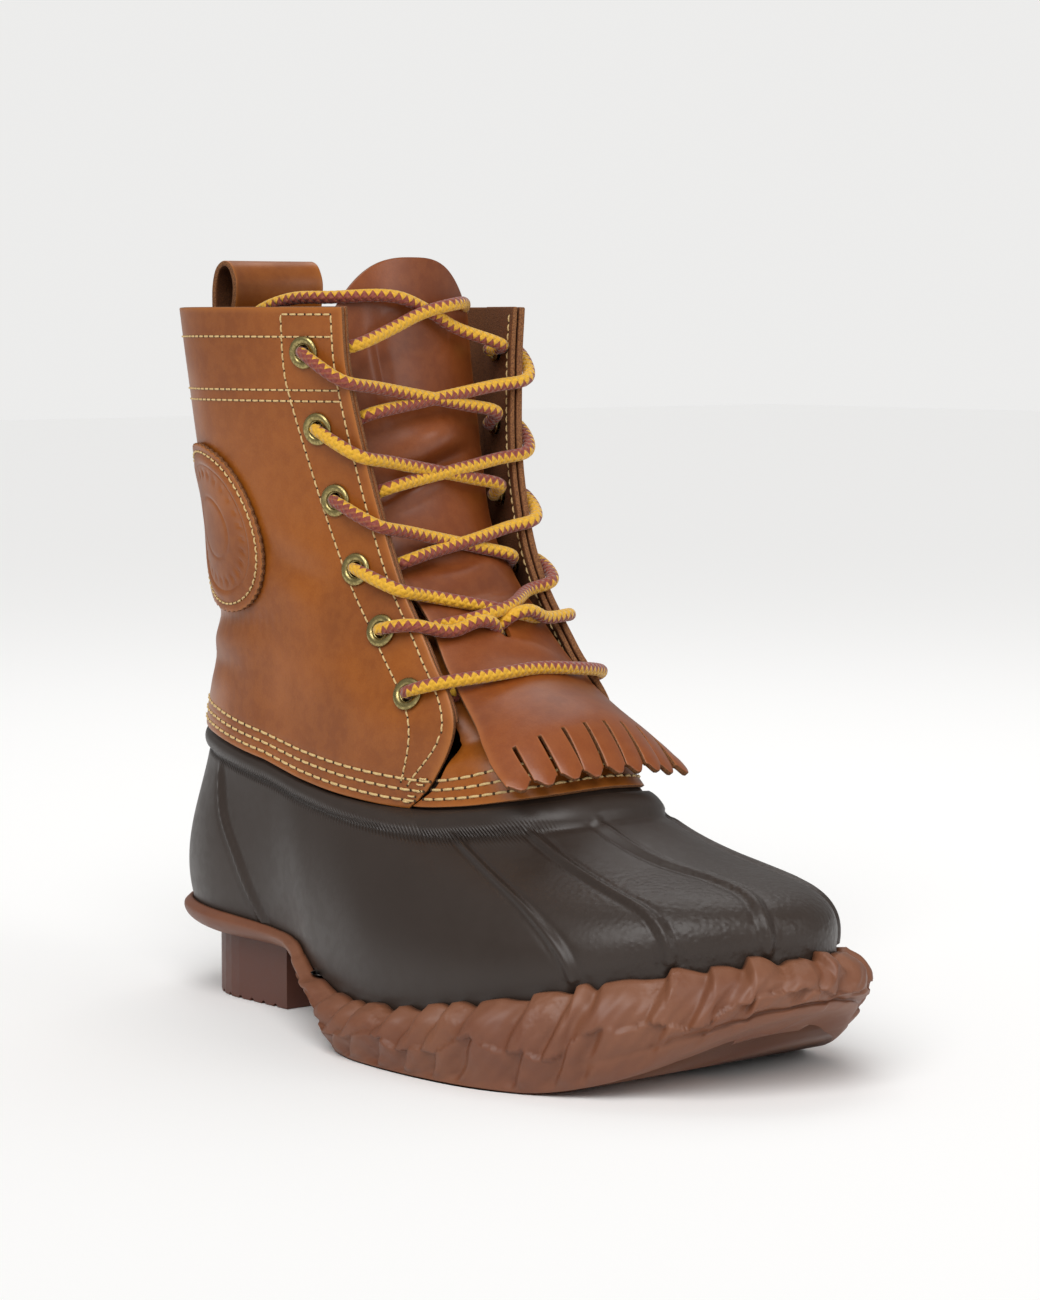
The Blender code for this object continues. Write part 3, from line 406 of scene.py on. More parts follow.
    def _shell(self, turn: Array, share: Array) -> Array:
        along, side = self.feather(turn)
        low = self.place(along, side, self.lip_height(turn))
        high = self._leg(np.zeros_like(turn), turn)
        rise = (high - low)[..., 2]
        leaned = self.feather(turn, self.around("lean", turn) * rise)
        first = low + self.place(*leaned, 0.0) - self.place(along, side, 0.0)
        first[..., 2] += self.around("rise", turn) * rise
        second = high + (low - high) * self.around("reach", turn)[..., None]
        second[..., 2] = high[..., 2] - self.around("drop", turn) * rise
        t = np.asarray(share, float)[..., None]
        return (1 - t) ** 3 * low + 3 * (1 - t) ** 2 * t * first + 3 * (1 - t) * t * t * second + t**3 * high

    def shell(self, turn: Array, share: Array, offset: Array = 0.0) -> Array:
        """Points of the rubber shell from the sole's lip (0) to the leather (1), pushed outwards."""
        return self._shell(turn, share) + self.shell_normal(turn, share) * np.asarray(offset)[..., None]

    def shell_normal(self, turn: Array, share: Array) -> Array:
        """Outward directions of the rubber shell."""
        step = self.step
        above, below = np.minimum(share + step, 1.0), np.maximum(share - step, 0.0)
        across = self._shell(turn + step, share) - self._shell(turn - step, share)
        return unit(np.cross(self._shell(turn, above) - self._shell(turn, below), across))

    def edge_turn(self, level: float, inset: float) -> float:
        """The turn that lies a surface distance behind the throat's edge."""
        turns = np.arange(1.0, 0.3, -0.002)
        return float(np.interp(inset, walk(self._leg(np.full(len(turns), level), turns)), turns))

    def edge_turns(self, levels: Array, inset: float) -> Array:
        """edge_turn for an array of levels."""
        sample = np.linspace(0.0, 1.0, 25)
        found = [self.edge_turn(level, inset) for level in sample]
        return np.interp(levels, sample, found)

    def tongue(self, run: Array, across: Array, lift: Array = 0.0) -> Array:
        """Points of the tongue: across goes from -1 to 1, lift is along the outward normal at its centre."""
        low, high = np.maximum(run - self.step, 0.0), np.minimum(run + self.step, 1.0)

        def line(name: str, at: Array) -> Array:
            return TONGUE.read(name, "run", at)

        rise = (line("height", high) - line("height", low)) * self.collar_height
        slope = (line("along", high) - line("along", low)) * self.collar_length
        normal = unit(np.stack([np.zeros_like(rise), -rise, -slope], axis=-1))
        half = line("half", run) * self.tongue_width / 2
        crown = line("crown", run) * self.tongue_width / 2
        along, height = line("along", run) * self.collar_length, line("height", run) * self.collar_height
        return self.place(along, across * half, height) + normal * (lift - crown * across * across)[..., None]

    def tongue_normal(self, run: Array, across: Array) -> Array:
        """Outward directions of the tongue."""
        step = self.step
        above, below = np.minimum(run + step, 1.0), np.maximum(run - step, 0.0)
        side = self.tongue(run, across + step) - self.tongue(run, across - step)
        return -unit(np.cross(self.tongue(above, across) - self.tongue(below, across), side))


LAST = Last()


def grid_object(name: str, grid: Array, closed: bool = False, skip: Array | None = None) -> Object:
    """A sheet of quads whose rows run round the boot.

    Args:
        name: Name of the object.
        grid: Points by row and column.
        closed: Whether the last column joins the first.
        skip: Quads to leave out, by row and column.

    Returns:
        The new object, shaded smooth.
    """
    rows, columns = grid.shape[:2]
    across = columns if closed else columns - 1
    r, c = np.meshgrid(np.arange(rows - 1), np.arange(across), indexing="ij")
    d = (c + 1) % columns
    faces = np.stack([r * columns + c, r * columns + d, (r + 1) * columns + d, (r + 1) * columns + c], -1)
    if skip is not None:
        faces = faces[~skip]
    faces = faces.reshape(-1, 4)
    mesh = bpy.data.meshes.new(name)
    mesh.from_pydata(grid.reshape(-1, 3).tolist(), [], faces.tolist())
    mesh.update()
    mesh.shade_smooth()
    obj = bpy.data.objects.new(name, mesh)
    bpy.context.scene.collection.objects.link(obj)
    return obj


def mark(obj: Object, name: str, values: Array) -> None:
    """Writes one number per vertex as an attribute that the materials read."""
    layer = obj.data.attributes.new(name, "FLOAT", "POINT")
    layer.data.foreach_set("value", np.ascontiguousarray(values, np.float32).ravel())


def bake(obj: Object) -> Object:
    """Makes the object's evaluated shape its own mesh, without modifiers."""
    graph = bpy.context.evaluated_depsgraph_get()
    found = obj.evaluated_get(graph)
    mesh = bpy.data.meshes.new_from_object(found, preserve_all_data_layers=True, depsgraph=graph)
    obj.modifiers.clear()
    obj.data = mesh
    return obj


def face_towards(obj: Object, outward: Callable[[Vector], Vector]) -> None:
    """Turns a sheet's faces to agree with a direction given for each face's middle."""
    total = sum(outward(f.center).dot(f.normal) * f.area for f in obj.data.polygons)
    if total < 0:
        obj.data.flip_normals()


def from_axis(centre: Vector) -> Vector:
    """Direction from the boot's middle."""
    return centre - Vector((0, -0.06, 0.08))


def fill_rings(obj: Object, *rings: Sequence[int]) -> None:
    """Closes rings of vertices with one face each, and turns all faces outwards."""
    mesh = bmesh.new()
    mesh.from_mesh(obj.data)
    mesh.verts.ensure_lookup_table()
    for ring in rings:
        mesh.faces.new([mesh.verts[k] for k in ring])
    bmesh.ops.recalc_face_normals(mesh, faces=mesh.faces)
    mesh.to_mesh(obj.data)
    mesh.free()
    obj.data.shade_smooth()


def thicken(
    obj: Object,
    thickness: float,
    offset: float,
    materials: Sequence[Material],
    soften: float = 0.0004,
) -> None:
    """Gives a sheet its wall.

    Args:
        obj: The sheet.
        thickness: Thickness of the wall.
        offset: Side on which it grows: 1 outwards, -1 inwards, 0 both.
        materials: Finishes of the face, the flesh and the cut edge.
        soften: Width of the bevel on its edges, 0 for none.
    """
    obj.data.materials.clear()
    for material in materials:
        obj.data.materials.append(material)
    solid = obj.modifiers.new("wall", "SOLIDIFY")
    solid.thickness = thickness
    solid.offset = offset
    solid.material_offset = 1
    solid.material_offset_rim = 2
    if soften:
        bevel = obj.modifiers.new("soften", "BEVEL")
        bevel.width = soften
        bevel.segments = 2
        bevel.limit_method = "ANGLE"
        bevel.angle_limit = math.radians(55)
        bevel.harden_normals = False


def dress(piece: Object, slot: Slot, *nodes: str) -> Object:
    """Rides a piece on the boot and hides the nodes that it stands for."""
    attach(piece, "root")
    if nodes:
        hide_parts(*nodes)
    LOG.info("%s: %d faces", piece.name, len(piece.data.polygons))
    return piece


class Nodes:
    """Short hand for building a shader tree."""

    def __init__(self, tree: NodeTree) -> None:
        self.tree = tree

    def add(self, kind: str, **settings: object) -> Node:
        """A node with its settings; a setting named as an input goes to its socket."""
        node = self.tree.nodes.new(kind)
        for name, value in settings.items():
            label = name.title()
            if label in node.inputs:
                self.feed(node.inputs[label], value)
            else:
                setattr(node, name, value)
        return node

    def read(self, attribute: str) -> NodeSocket:
        """Value of an attribute that mark wrote."""
        return self.add("ShaderNodeAttribute", attribute_name=attribute).outputs["Fac"]

    def effect(self, tree: NodeTree, **sizes: float) -> Node:
        """A shared effect with its sizes."""
        node = self.add("ShaderNodeGroup", node_tree=tree)
        for name, value in sizes.items():
            node.inputs[name.title()].default_value = value
        return node

    def bump(
        self,
        height: NodeSocket,
        distance: float,
        strength: float = 1.0,
        under: NodeSocket | None = None,
    ) -> NodeSocket:
        """Normals raised by a height, over those of a layer under it."""
        node = self.add("ShaderNodeBump", strength=strength, distance=distance)
        self.feed(node.inputs["Height"], height)
        if under is not None:
            self.feed(node.inputs["Normal"], under)
        return node.outputs["Normal"]

    def feed(self, socket: NodeSocket, value: object) -> None:
        """Links an output into a socket, or sets its value."""
        if isinstance(value, NodeSocket):
            self.tree.links.new(value, socket)
        else:
            socket.default_value = value

    def math(self, operation: str, *values: object) -> NodeSocket:
        """Result of a Math node."""
        node = self.tree.nodes.new("ShaderNodeMath")
        node.operation = operation
        for socket, value in zip(node.inputs, values):
            self.feed(socket, value)
        return node.outputs[0]

    def blend(self, share: object, first: object, second: object, kind: str = "MIX") -> NodeSocket:
        """Colour mixed from two."""
        node = self.tree.nodes.new("ShaderNodeMix")
        node.data_type = "RGBA"
        node.blend_type = kind
        self.feed(node.inputs[0], share)
        self.feed(node.inputs[6], first)
        self.feed(node.inputs[7], second)
        return node.outputs[2]

    def spread(
        self, value: object, low: float, high: float, to_low: float = 0.0, to_high: float = 1.0
    ) -> NodeSocket:
        """Value carried smoothly from one range to another."""
        node = self.tree.nodes.new("ShaderNodeMapRange")
        node.interpolation_type = "SMOOTHSTEP"
        for socket, number in zip(list(node.inputs)[:5], (value, low, high, to_low, to_high)):
            self.feed(socket, number)
        return node.outputs[0]


def group(
    name: str, inputs: dict[str, float], outputs: Sequence[str]
) -> tuple[NodeTree, Nodes, Node, Node]:
    """A shader node group with number sockets.

    Args:
        name: Name of the group.
        inputs: Default of each input.
        outputs: Names of the outputs.

    Returns:
        The tree, its builder, its input node and its output node.
    """
    tree = bpy.data.node_groups.new(name, "ShaderNodeTree")
    for label, default in inputs.items():
        socket = tree.interface.new_socket(label, in_out="INPUT", socket_type="NodeSocketFloat")
        socket.default_value = default
    for label in outputs:
        tree.interface.new_socket(label, in_out="OUTPUT", socket_type="NodeSocketFloat")
    return tree, Nodes(tree), tree.nodes.new("NodeGroupInput"), tree.nodes.new("NodeGroupOutput")


def new_material(name: str) -> tuple[Material, Nodes, Node]:
    """A material with the builder of its tree and its main shader."""
    material = bpy.data.materials.new(name)
    material.use_nodes = True
    return material, Nodes(material.node_tree), material.node_tree.nodes["Principled BSDF"]


class Effects:
    """Shader groups that several finishes share, each built once."""

    def __init__(self) -> None:
        self.grain = self._grain()
        self.mottle = self._mottle()

    @staticmethod
    def _grain() -> NodeTree:
        tree, n, given, out = group("skin_grain", {"Scale": 900.0, "Pores": 0.5}, ("Height", "Speck"))
        where = n.add("ShaderNodeTexCoord").outputs["Object"]
        cells = n.add("ShaderNodeTexVoronoi", vector=where, scale=given.outputs["Scale"])
        cells.feature = "SMOOTH_F1"
        finer = n.math("MULTIPLY", given.outputs["Scale"], 1.7)
        fine = n.add("ShaderNodeTexNoise", vector=where, scale=finer, detail=3.0).outputs["Fac"]
        skin = n.math("MULTIPLY", cells.outputs["Distance"], -0.6)
        pores = n.math("MULTIPLY", fine, given.outputs["Pores"])
        n.feed(out.inputs["Height"], n.math("ADD", skin, pores))
        n.feed(out.inputs["Speck"], n.spread(fine, 0.35, 0.65))
        return tree

    @staticmethod
    def _mottle() -> NodeTree:
        tree, n, given, out = group("mottle", {"Scale": 28.0}, ("Broad", "Small"))
        where = n.add("ShaderNodeTexCoord").outputs["Object"]
        broad = n.add("ShaderNodeTexNoise", vector=where, scale=given.outputs["Scale"], detail=2.0)
        finer = n.math("MULTIPLY", given.outputs["Scale"], 9.0)
        small = n.add("ShaderNodeTexNoise", vector=where, scale=finer, detail=4.0)
        n.feed(out.inputs["Broad"], n.spread(broad.outputs["Fac"], 0.34, 0.66))
        n.feed(out.inputs["Small"], n.spread(small.outputs["Fac"], 0.38, 0.62))
        return tree


def linear(red: int, green: int, blue: int) -> Colour:
    """Linear colour from screen values."""
    values = [v / 255 for v in (red, green, blue)]
    return (*[v / 12.92 if v <= 0.04045 else ((v + 0.055) / 1.055) ** 2.4 for v in values], 1.0)


@dataclass(frozen=True)
class Leather:
    """Oiled leather with grain, mottling and edges worn by the attribute 'wear'."""

    name: str
    base: Colour
    deep: Colour
    pale: Colour
    roughness: float = 0.46
    duller: float = 0.08
    glossier: float = 0.05
    grain_depth: float = 0.00006
    grain_scale: float = 1100.0
    grain_strength: float = 0.7
    coat: float = 0.12
    coat_roughness: float = 0.35
    specular: float = 0.35
    # Shares of the deep and pale colours in the mottling, the flecks, the pores and the worn edges.
    mottled: float = 0.55
    flecked: float = 0.14
    pored: float = 0.16
    worn: float = 0.75

    def build(self, effects: Effects) -> Material:
        """The material."""
        material, n, shader = new_material(self.name)
        grain = n.effect(effects.grain, scale=self.grain_scale)
        mottle = n.effect(effects.mottle)
        colour = n.blend(n.math("MULTIPLY", mottle.outputs["Broad"], self.mottled), self.base, self.deep)
        colour = n.blend(n.math("MULTIPLY", mottle.outputs["Small"], self.flecked), colour, self.pale)
        colour = n.blend(n.math("MULTIPLY", grain.outputs["Speck"], self.pored), colour, self.deep)
        colour = n.blend(n.math("MULTIPLY", n.read("wear"), self.worn), colour, self.pale)
        n.feed(shader.inputs["Base Color"], colour)
        low, high = self.roughness - self.glossier, self.roughness + self.duller
        n.feed(shader.inputs["Roughness"], n.spread(mottle.outputs["Broad"], 0.0, 1.0, low, high))
        shader.inputs["Specular IOR Level"].default_value = self.specular
        shader.inputs["Coat Weight"].default_value = self.coat
        shader.inputs["Coat Roughness"].default_value = self.coat_roughness
        raised = n.bump(grain.outputs["Height"], self.grain_depth, self.grain_strength)
        n.feed(shader.inputs["Normal"], raised)
        return material


@dataclass(frozen=True)
class RawEdge:
    """Cut or fleshy side of the leather: fibrous, matt and paler."""

    name: str
    base: Colour
    deep: Colour
    roughness: float = 0.85
    fibre_depth: float = 0.0002
    fibre_scale: float = 1600.0

    def build(self, effects: Effects) -> Material:
        """The material."""
        material, n, shader = new_material(self.name)
        grain = n.effect(effects.grain, scale=self.fibre_scale, pores=1.0)
        n.feed(shader.inputs["Base Color"], n.blend(grain.outputs["Speck"], self.base, self.deep))
        shader.inputs["Roughness"].default_value = self.roughness
        n.feed(shader.inputs["Normal"], n.bump(grain.outputs["Height"], self.fibre_depth))
        return material


@dataclass(frozen=True)
class Rubber:
    """Moulded rubber: a satin skin whose pebble grain follows the attribute 'pebble'."""

    name: str
    base: Colour
    pale: Colour
    roughness: float = 0.45
    duller: float = 0.04
    skin_depth: float = 0.00003
    skin_scale: float = 2200.0
    skin_strength: float = 0.5
    pebble_depth: float = 0.00022
    pebble_scale: float = 620.0
    knurl_depth: float = 0.0003
    knurl_beat: float = 4800.0
    specular: float = 0.5
    # Shares of the pale colour in the blotches, the flecks and the worn places.
    blotched: float = 0.35
    flecked: float = 0.10
    worn: float = 0.6

    def build(self, effects: Effects) -> Material:
        """The material."""
        material, n, shader = new_material(self.name)
        mottle = n.effect(effects.mottle)
        grain = n.effect(effects.grain, scale=self.skin_scale)
        colour = n.blend(n.math("MULTIPLY", mottle.outputs["Broad"], self.blotched), self.base, self.pale)
        colour = n.blend(n.math("MULTIPLY", mottle.outputs["Small"], self.flecked), colour, self.pale)
        colour = n.blend(n.math("MULTIPLY", n.read("wear"), self.worn), colour, self.pale)
        n.feed(shader.inputs["Base Color"], colour)
        low, high = self.roughness, self.roughness + self.duller
        n.feed(shader.inputs["Roughness"], n.spread(mottle.outputs["Small"], 0.0, 1.0, low, high))
        shader.inputs["Specular IOR Level"].default_value = self.specular
        where = n.add("ShaderNodeTexCoord").outputs["Object"]
        cells = n.add("ShaderNodeTexVoronoi", vector=where, scale=self.pebble_scale)
        cells.feature = "SMOOTH_F1"
        pits = n.math("MULTIPLY", n.math("MULTIPLY", cells.outputs["Distance"], -1.0), n.read("pebble"))
        cuts = n.math("SINE", n.math("MULTIPLY", n.read("arc"), self.knurl_beat))
        raised = n.bump(grain.outputs["Height"], self.skin_depth, self.skin_strength)
        raised = n.bump(pits, self.pebble_depth, under=raised)
        raised = n.bump(n.math("MULTIPLY", n.read("knurl"), cuts), self.knurl_depth, under=raised)
        n.feed(shader.inputs["Normal"], raised)
        return material


@dataclass(frozen=True)
class Brass:
    """Antique brass with dull brown patches."""

    name: str = "aged_brass"
    bright: Colour = linear(172, 156, 104)
    dull: Colour = linear(96, 84, 52)
    patch_scale: float = 120.0
    patched: float = 0.5
    roughness: tuple[float, float] = (0.26, 0.42)

    def build(self, effects: Effects) -> Material:
        """The material."""
        material, n, shader = new_material(self.name)
        patches = n.effect(effects.mottle, scale=self.patch_scale).outputs["Small"]
        share = n.math("MULTIPLY", patches, self.patched)
        n.feed(shader.inputs["Base Color"], n.blend(share, self.bright, self.dull))
        shader.inputs["Metallic"].default_value = 1.0
        n.feed(shader.inputs["Roughness"], n.spread(patches, 0.0, 1.0, *self.roughness))
        return material


@dataclass(frozen=True)
class Braid:
    """Round braided lace: a yellow and a red-brown flank that meet in a zigzag."""

    name: str = "braided_lace"
    pitch: float = 0.0026
    zigzag: float = 0.36
    # Each flank's colour, the colour mixed into it and that colour's share.
    gold: tuple[Colour, Colour, float] = (linear(222, 168, 22), linear(190, 128, 16), 0.5)
    red: tuple[Colour, Colour, float] = (linear(132, 52, 36), linear(205, 150, 60), 0.12)
    fleck_strands: float = 6.0
    fleck_from: float = 0.55
    plait_strands: float = 4.0
    plait_depth: float = 0.0004
    roughness: float = 0.62
    sheen: float = 0.25

    def build(self, effects: Effects) -> Material:
        """The material."""
        material, n, shader = new_material(self.name)
        parts = n.add("ShaderNodeSeparateXYZ")
        n.feed(parts.inputs[0], n.add("ShaderNodeUVMap", uv_map="cord").outputs[0])
        around, along = parts.outputs[0], parts.outputs[1]
        beat = n.math("DIVIDE", along, self.pitch)
        teeth = n.math("PINGPONG", beat, 0.5)
        shift = n.math("MULTIPLY", n.math("SUBTRACT", teeth, 0.25), self.zigzag)
        yellow = n.math("LESS_THAN", n.math("FRACT", n.math("ADD", around, shift)), 0.5)
        wound = n.math("ADD", beat, n.math("MULTIPLY", around, self.fleck_strands))
        wave = n.math("SINE", n.math("MULTIPLY", wound, math.tau))
        fleck = n.math("GREATER_THAN", wave, self.fleck_from)
        red = n.blend(n.math("MULTIPLY", fleck, self.red[2]), *self.red[:2])
        gold = n.blend(n.math("MULTIPLY", teeth, self.gold[2]), *self.gold[:2])
        n.feed(shader.inputs["Base Color"], n.blend(yellow, red, gold))
        shader.inputs["Roughness"].default_value = self.roughness
        shader.inputs["Sheen Weight"].default_value = self.sheen
        strands = n.math("MULTIPLY", around, self.plait_strands)
        plaits = [
            n.math("ABSOLUTE", n.math("SINE", n.math("MULTIPLY", n.math(way, beat, strands), math.pi)))
            for way in ("ADD", "SUBTRACT")
        ]
        n.feed(shader.inputs["Normal"], n.bump(n.math("MULTIPLY", *plaits), self.plait_depth))
        return material


@dataclass(frozen=True)
class Thread:
    """Waxed sewing thread, or the painted shade of the hole that it passes through."""

    name: str
    base: Colour
    roughness: float = 0.6
    soil: Colour = linear(150, 110, 62)
    soil_scale: float = 200.0
    soiled: float = 0.3

    def build(self, effects: Effects) -> Material:
        """The material."""
        material, n, shader = new_material(self.name)
        patches = n.effect(effects.mottle, scale=self.soil_scale).outputs["Small"]
        share = n.math("MULTIPLY", patches, self.soiled)
        n.feed(shader.inputs["Base Color"], n.blend(share, self.base, self.soil))
        shader.inputs["Roughness"].default_value = self.roughness
        return material


class Finishes:
    """Every material of the boot."""

    def __init__(self) -> None:
        effects = Effects()
        tans = linear(148, 80, 20), linear(108, 52, 11), linear(178, 108, 44)
        tan = Leather("tan_leather_face", *tans, roughness=0.42, coat=0.15)
        kilties = linear(134, 68, 26), linear(98, 44, 14), linear(164, 96, 48)
        kiltie = Leather("kiltie_leather_face", *kilties, roughness=0.36, coat=0.25)
        insole = Leather("insole_leather", linear(110, 70, 38), linear(84, 50, 26), linear(140, 98, 60), 0.6)
        brown = Rubber("brown_rubber_skin", linear(46, 36, 30), linear(54, 44, 38), 0.40, specular=0.42)
        self.tan = tan.build(effects)
        self.kiltie = kiltie.build(effects)
        self.flesh = RawEdge("leather_flesh", linear(120, 72, 34), linear(88, 48, 20)).build(effects)
        self.edge = RawEdge("leather_cut_edge", linear(140, 92, 50), linear(92, 52, 24)).build(effects)
        self.gum = Rubber("gum_rubber_skin", linear(110, 64, 42), linear(134, 88, 60), 0.48).build(effects)
        self.heel = Rubber("heel_rubber_skin", linear(86, 48, 36), linear(106, 66, 52), 0.5).build(effects)
        self.brown = brown.build(effects)
        self.brass = Brass().build(effects)
        self.braid = Braid().build(effects)
        self.thread = Thread("cream_thread", linear(214, 184, 128)).build(effects)
        # The near-black hole finish is painted shade: it stands for the shadow inside each stitch hole.
        self.hole_shade = Thread("thread_hole", linear(38, 22, 10), 0.9).build(effects)
        self.insole = insole.build(effects)


@dataclass(frozen=True)
class Outsole:
    """Gum cup sole: chiselled bumper, heel rim, underside and deck."""

    columns: int = 960
    wall_rows: int = 36
    rim_overhang: float = 0.0035
    rim_tuck: float = 0.0068
    bumper_overhang: float = 0.0075
    bumper_drop: float = 0.0030
    chip_width: float = 0.0130
    chip_depth: float = 0.0018
    chip_slant: float = 0.011
    chip_drift: float = 0.28
    chip_tilt: float = 0.9
    chip_count: int = 400
    lower_shift: float = 0.47
    tooth: float = 0.0036
    seed: int = 11
    foot_roll: float = 0.36
    # The smooth chin under the toe: its turn and width, and the groove above it.
    chin_turn: float = 1.9
    chin_width: float = 0.42
    chin_groove: tuple[float, float, float] = (0.27, 0.028, 0.0020)
    # How far the wall stands out, from its foot (0) to its lip (1).
    profile_ups: tuple[float, ...] = (0.0, 0.22, 0.50, 0.80, 1.0)
    profile_outs: tuple[float, ...] = (0.95, 0.95, 1.00, 0.92, 0.40)
    # How far each ring of the underside and the deck is drawn in.
    draws: tuple[float, ...] = (0.25, 0.5, 0.75, 0.94)

    def chips(self, arc: Array, up: float) -> tuple[Array, Array]:
        """Slanted facets of the bumper.

        Args:
            arc: Distance round the sole.
            up: Share of the wall's height.

        Returns:
            How far the surface stands out, and how high each facet's tooth reaches, as arrays.
        """
        rng, count, slack = np.random.default_rng(self.seed), self.chip_count, self.chip_drift
        drift = rng.uniform(-slack, slack, count)
        tilt = rng.uniform(-self.chip_tilt, self.chip_tilt, count)
        tall = rng.uniform(0.0, 1.0, count)
        wander = 0.0016 * np.sin(arc * 260.0 + 3.0 * up) + 0.0011 * np.sin(arc * 613.0 + 1.3)
        lean = arc + up * self.chip_slant + wander * (up - 0.5)
        beat = arc / self.chip_width
        split = 0.50 + 0.10 * np.sin(beat * 1.9) + 0.05 * np.sin(beat * 4.3)
        upper = up > split
        place = lean / self.chip_width + np.where(upper, 0.0, self.lower_shift)
        base = np.floor(place).astype(int)
        here = base + drift[base % count]
        early = place - base < drift[base % count] + slack
        cell = np.where(early, base - 1, base)
        begin = np.where(early, base - 1 + drift[(base - 1) % count], here) + slack
        finish = np.where(early, here, base + 1 + drift[(base + 1) % count]) + slack
        share = np.clip((place - begin) / np.maximum(finish - begin, 0.2), 0.0, 1.0)
        crest = ease(0.0, 0.66, share) - ease(0.80, 1.0, share)
        tier = np.where(upper, ease(1.10, split, up), ease(0.0, split, up) * 0.95)
        pit = 0.16 * np.sin(arc * 900.0 + 9.0 * up) * np.sin(up * 21.0 + arc * 333.0)
        form = (crest - 0.5) * 1.35 + tier * 1.35 + tilt[cell % count] * (up - 0.5) + pit
        return self.chip_depth * form, crest * (0.35 + 0.65 * tall[cell % count])

    def wall(self, turns: Array, arc: Array, bumper: Array, ups: Array) -> Array:
        """Rings of the wall, from the underside up to the jagged lip.

        Args:
            turns: Turn of each column.
            arc: Distance of each column round the sole.
            bumper: Share of the bumper's form at each column.
            ups: Share of the wall's height of each ring.

        Returns:
            Points by ring and column.
        """
        last = LAST
        over = self.rim_overhang + bumper * (self.bumper_overhang - self.rim_overhang)
        low = last.underside(last.feather(turns)[0])
        foot = last.around("foot", turns)
        _, teeth = self.chips(arc, 1.0)
        high = last.lip_height(turns) - 2 * last.gap - bumper * self.bumper_drop + bumper * self.tooth * teeth
        chin = hump(np.abs(np.abs(turns) - self.chin_turn), self.chin_width)
        profile = Table("up out", list(zip(self.profile_ups, self.profile_outs)))
        groove_up, groove_width, groove_depth = self.chin_groove
        rings = []
        for up in ups:
            out = float(profile.read("out", "up", np.array(up)))
            roll = np.sqrt(1.0 - (1.0 - min(up / self.foot_roll, 1.0)) ** 2)
            out = foot + (out - foot) * roll
            tuck = self.rim_tuck * (1.0 - bumper) * (1.0 - up) ** 3
            cut, _ = self.chips(arc, up)
            strength = bumper * ease(0.02, 0.16, up) * (1.0 - 0.7 * ease(0.90, 1.0, up))
            strength = strength * (1 - chin * (1 - ease(0.28, 0.38, up)))
            groove = -groove_depth * chin * hump(np.array(up - groove_up), groove_width)
            along, side = last.feather(turns, over * out - tuck + strength * cut + groove * bumper)
            rings.append(last.place(along, side, low + up * (high - low)))
        found = np.array(rings)
        found[:, :, 2] = np.maximum(found[:, :, 2], 0.0)
        return found

    def build(self, finishes: Finishes) -> Object:
        """The sole's piece."""
        last = LAST
        turns = -2.0 + 4.0 * np.arange(self.columns) / self.columns
        arc = walk(last.place(*last.feather(turns), 0.0))
        bumper = last.around("bumper", turns)
        ups = np.linspace(0.0, 1.0, self.wall_rows) ** 1.25
        wall = self.wall(turns, arc, bumper, ups)
        inner = last.place(*last.feather(turns, last.gap), wall[-1, :, 2])
        floor = last.place(*last.feather(turns, last.gap), last.deck(last.feather(turns)[0]))
        under = [wall[0]] + [self.drawn_under(wall[0], share) for share in self.draws]
        deck = [self.drawn(floor, share) for share in self.draws]
        grid = np.array(under + list(wall[1:]) + [inner, floor] + deck)
        obj = grid_object("outsole_gum", grid, closed=True)
        self.cap(obj, 0, self.columns)
        self.cap(obj, (len(grid) - 1) * self.columns, self.columns)
        up_share = np.concatenate([np.zeros(len(under)), ups[1:], np.ones(len(deck) + 2)])[:, None]
        mark(obj, "pebble", up_share * bumper * ease(0.2, 0.9, np.sin(arc * 190.0) * 0.5 + 0.4))
        mark(obj, "wear", ease(0.75, 1.0, up_share) * bumper * 0.6)
        obj.data.materials.append(finishes.gum)
        fill_rings(obj)
        return dress(obj, Slot.GUM, "outsole")

    @staticmethod
    def drawn(ring: Array, share: float) -> Array:
        """A ring drawn in across the foot towards its middle line."""
        found = ring.copy()
        found[:, 0] = ring[:, 0] * (1 - share)
        found[:, 1] = ring[:, 1] + (np.clip(ring[:, 1], -0.2, 0.025) - ring[:, 1]) * share
        return found

    def drawn_under(self, ring: Array, share: float) -> Array:
        """A ring drawn in, on the underside's own height."""
        found = self.drawn(ring, share)
        height = LAST.underside(LAST.heel_centre - found[:, 1])
        found[:, 2] = ring[:, 2] + (height - ring[:, 2]) * min(share * 4, 1.0)
        return found

    @staticmethod
    def cap(obj: Object, first: int, count: int) -> None:
        """Closes a ring with strips across the foot."""
        mesh = bmesh.new()
        mesh.from_mesh(obj.data)
        mesh.verts.ensure_lookup_table()
        half = count // 2
        for k in range(half):
            a, b = first + k, first + k + 1
            c, d = first + (count - k - 1) % count, first + (count - k) % count
            corners = [a, b, c] if k == 0 else [a, b, d] if k == half - 1 else [a, b, c, d]
            mesh.faces.new([mesh.verts[i] for i in corners])
        mesh.to_mesh(obj.data)
        mesh.free()
        obj.data.shade_smooth()


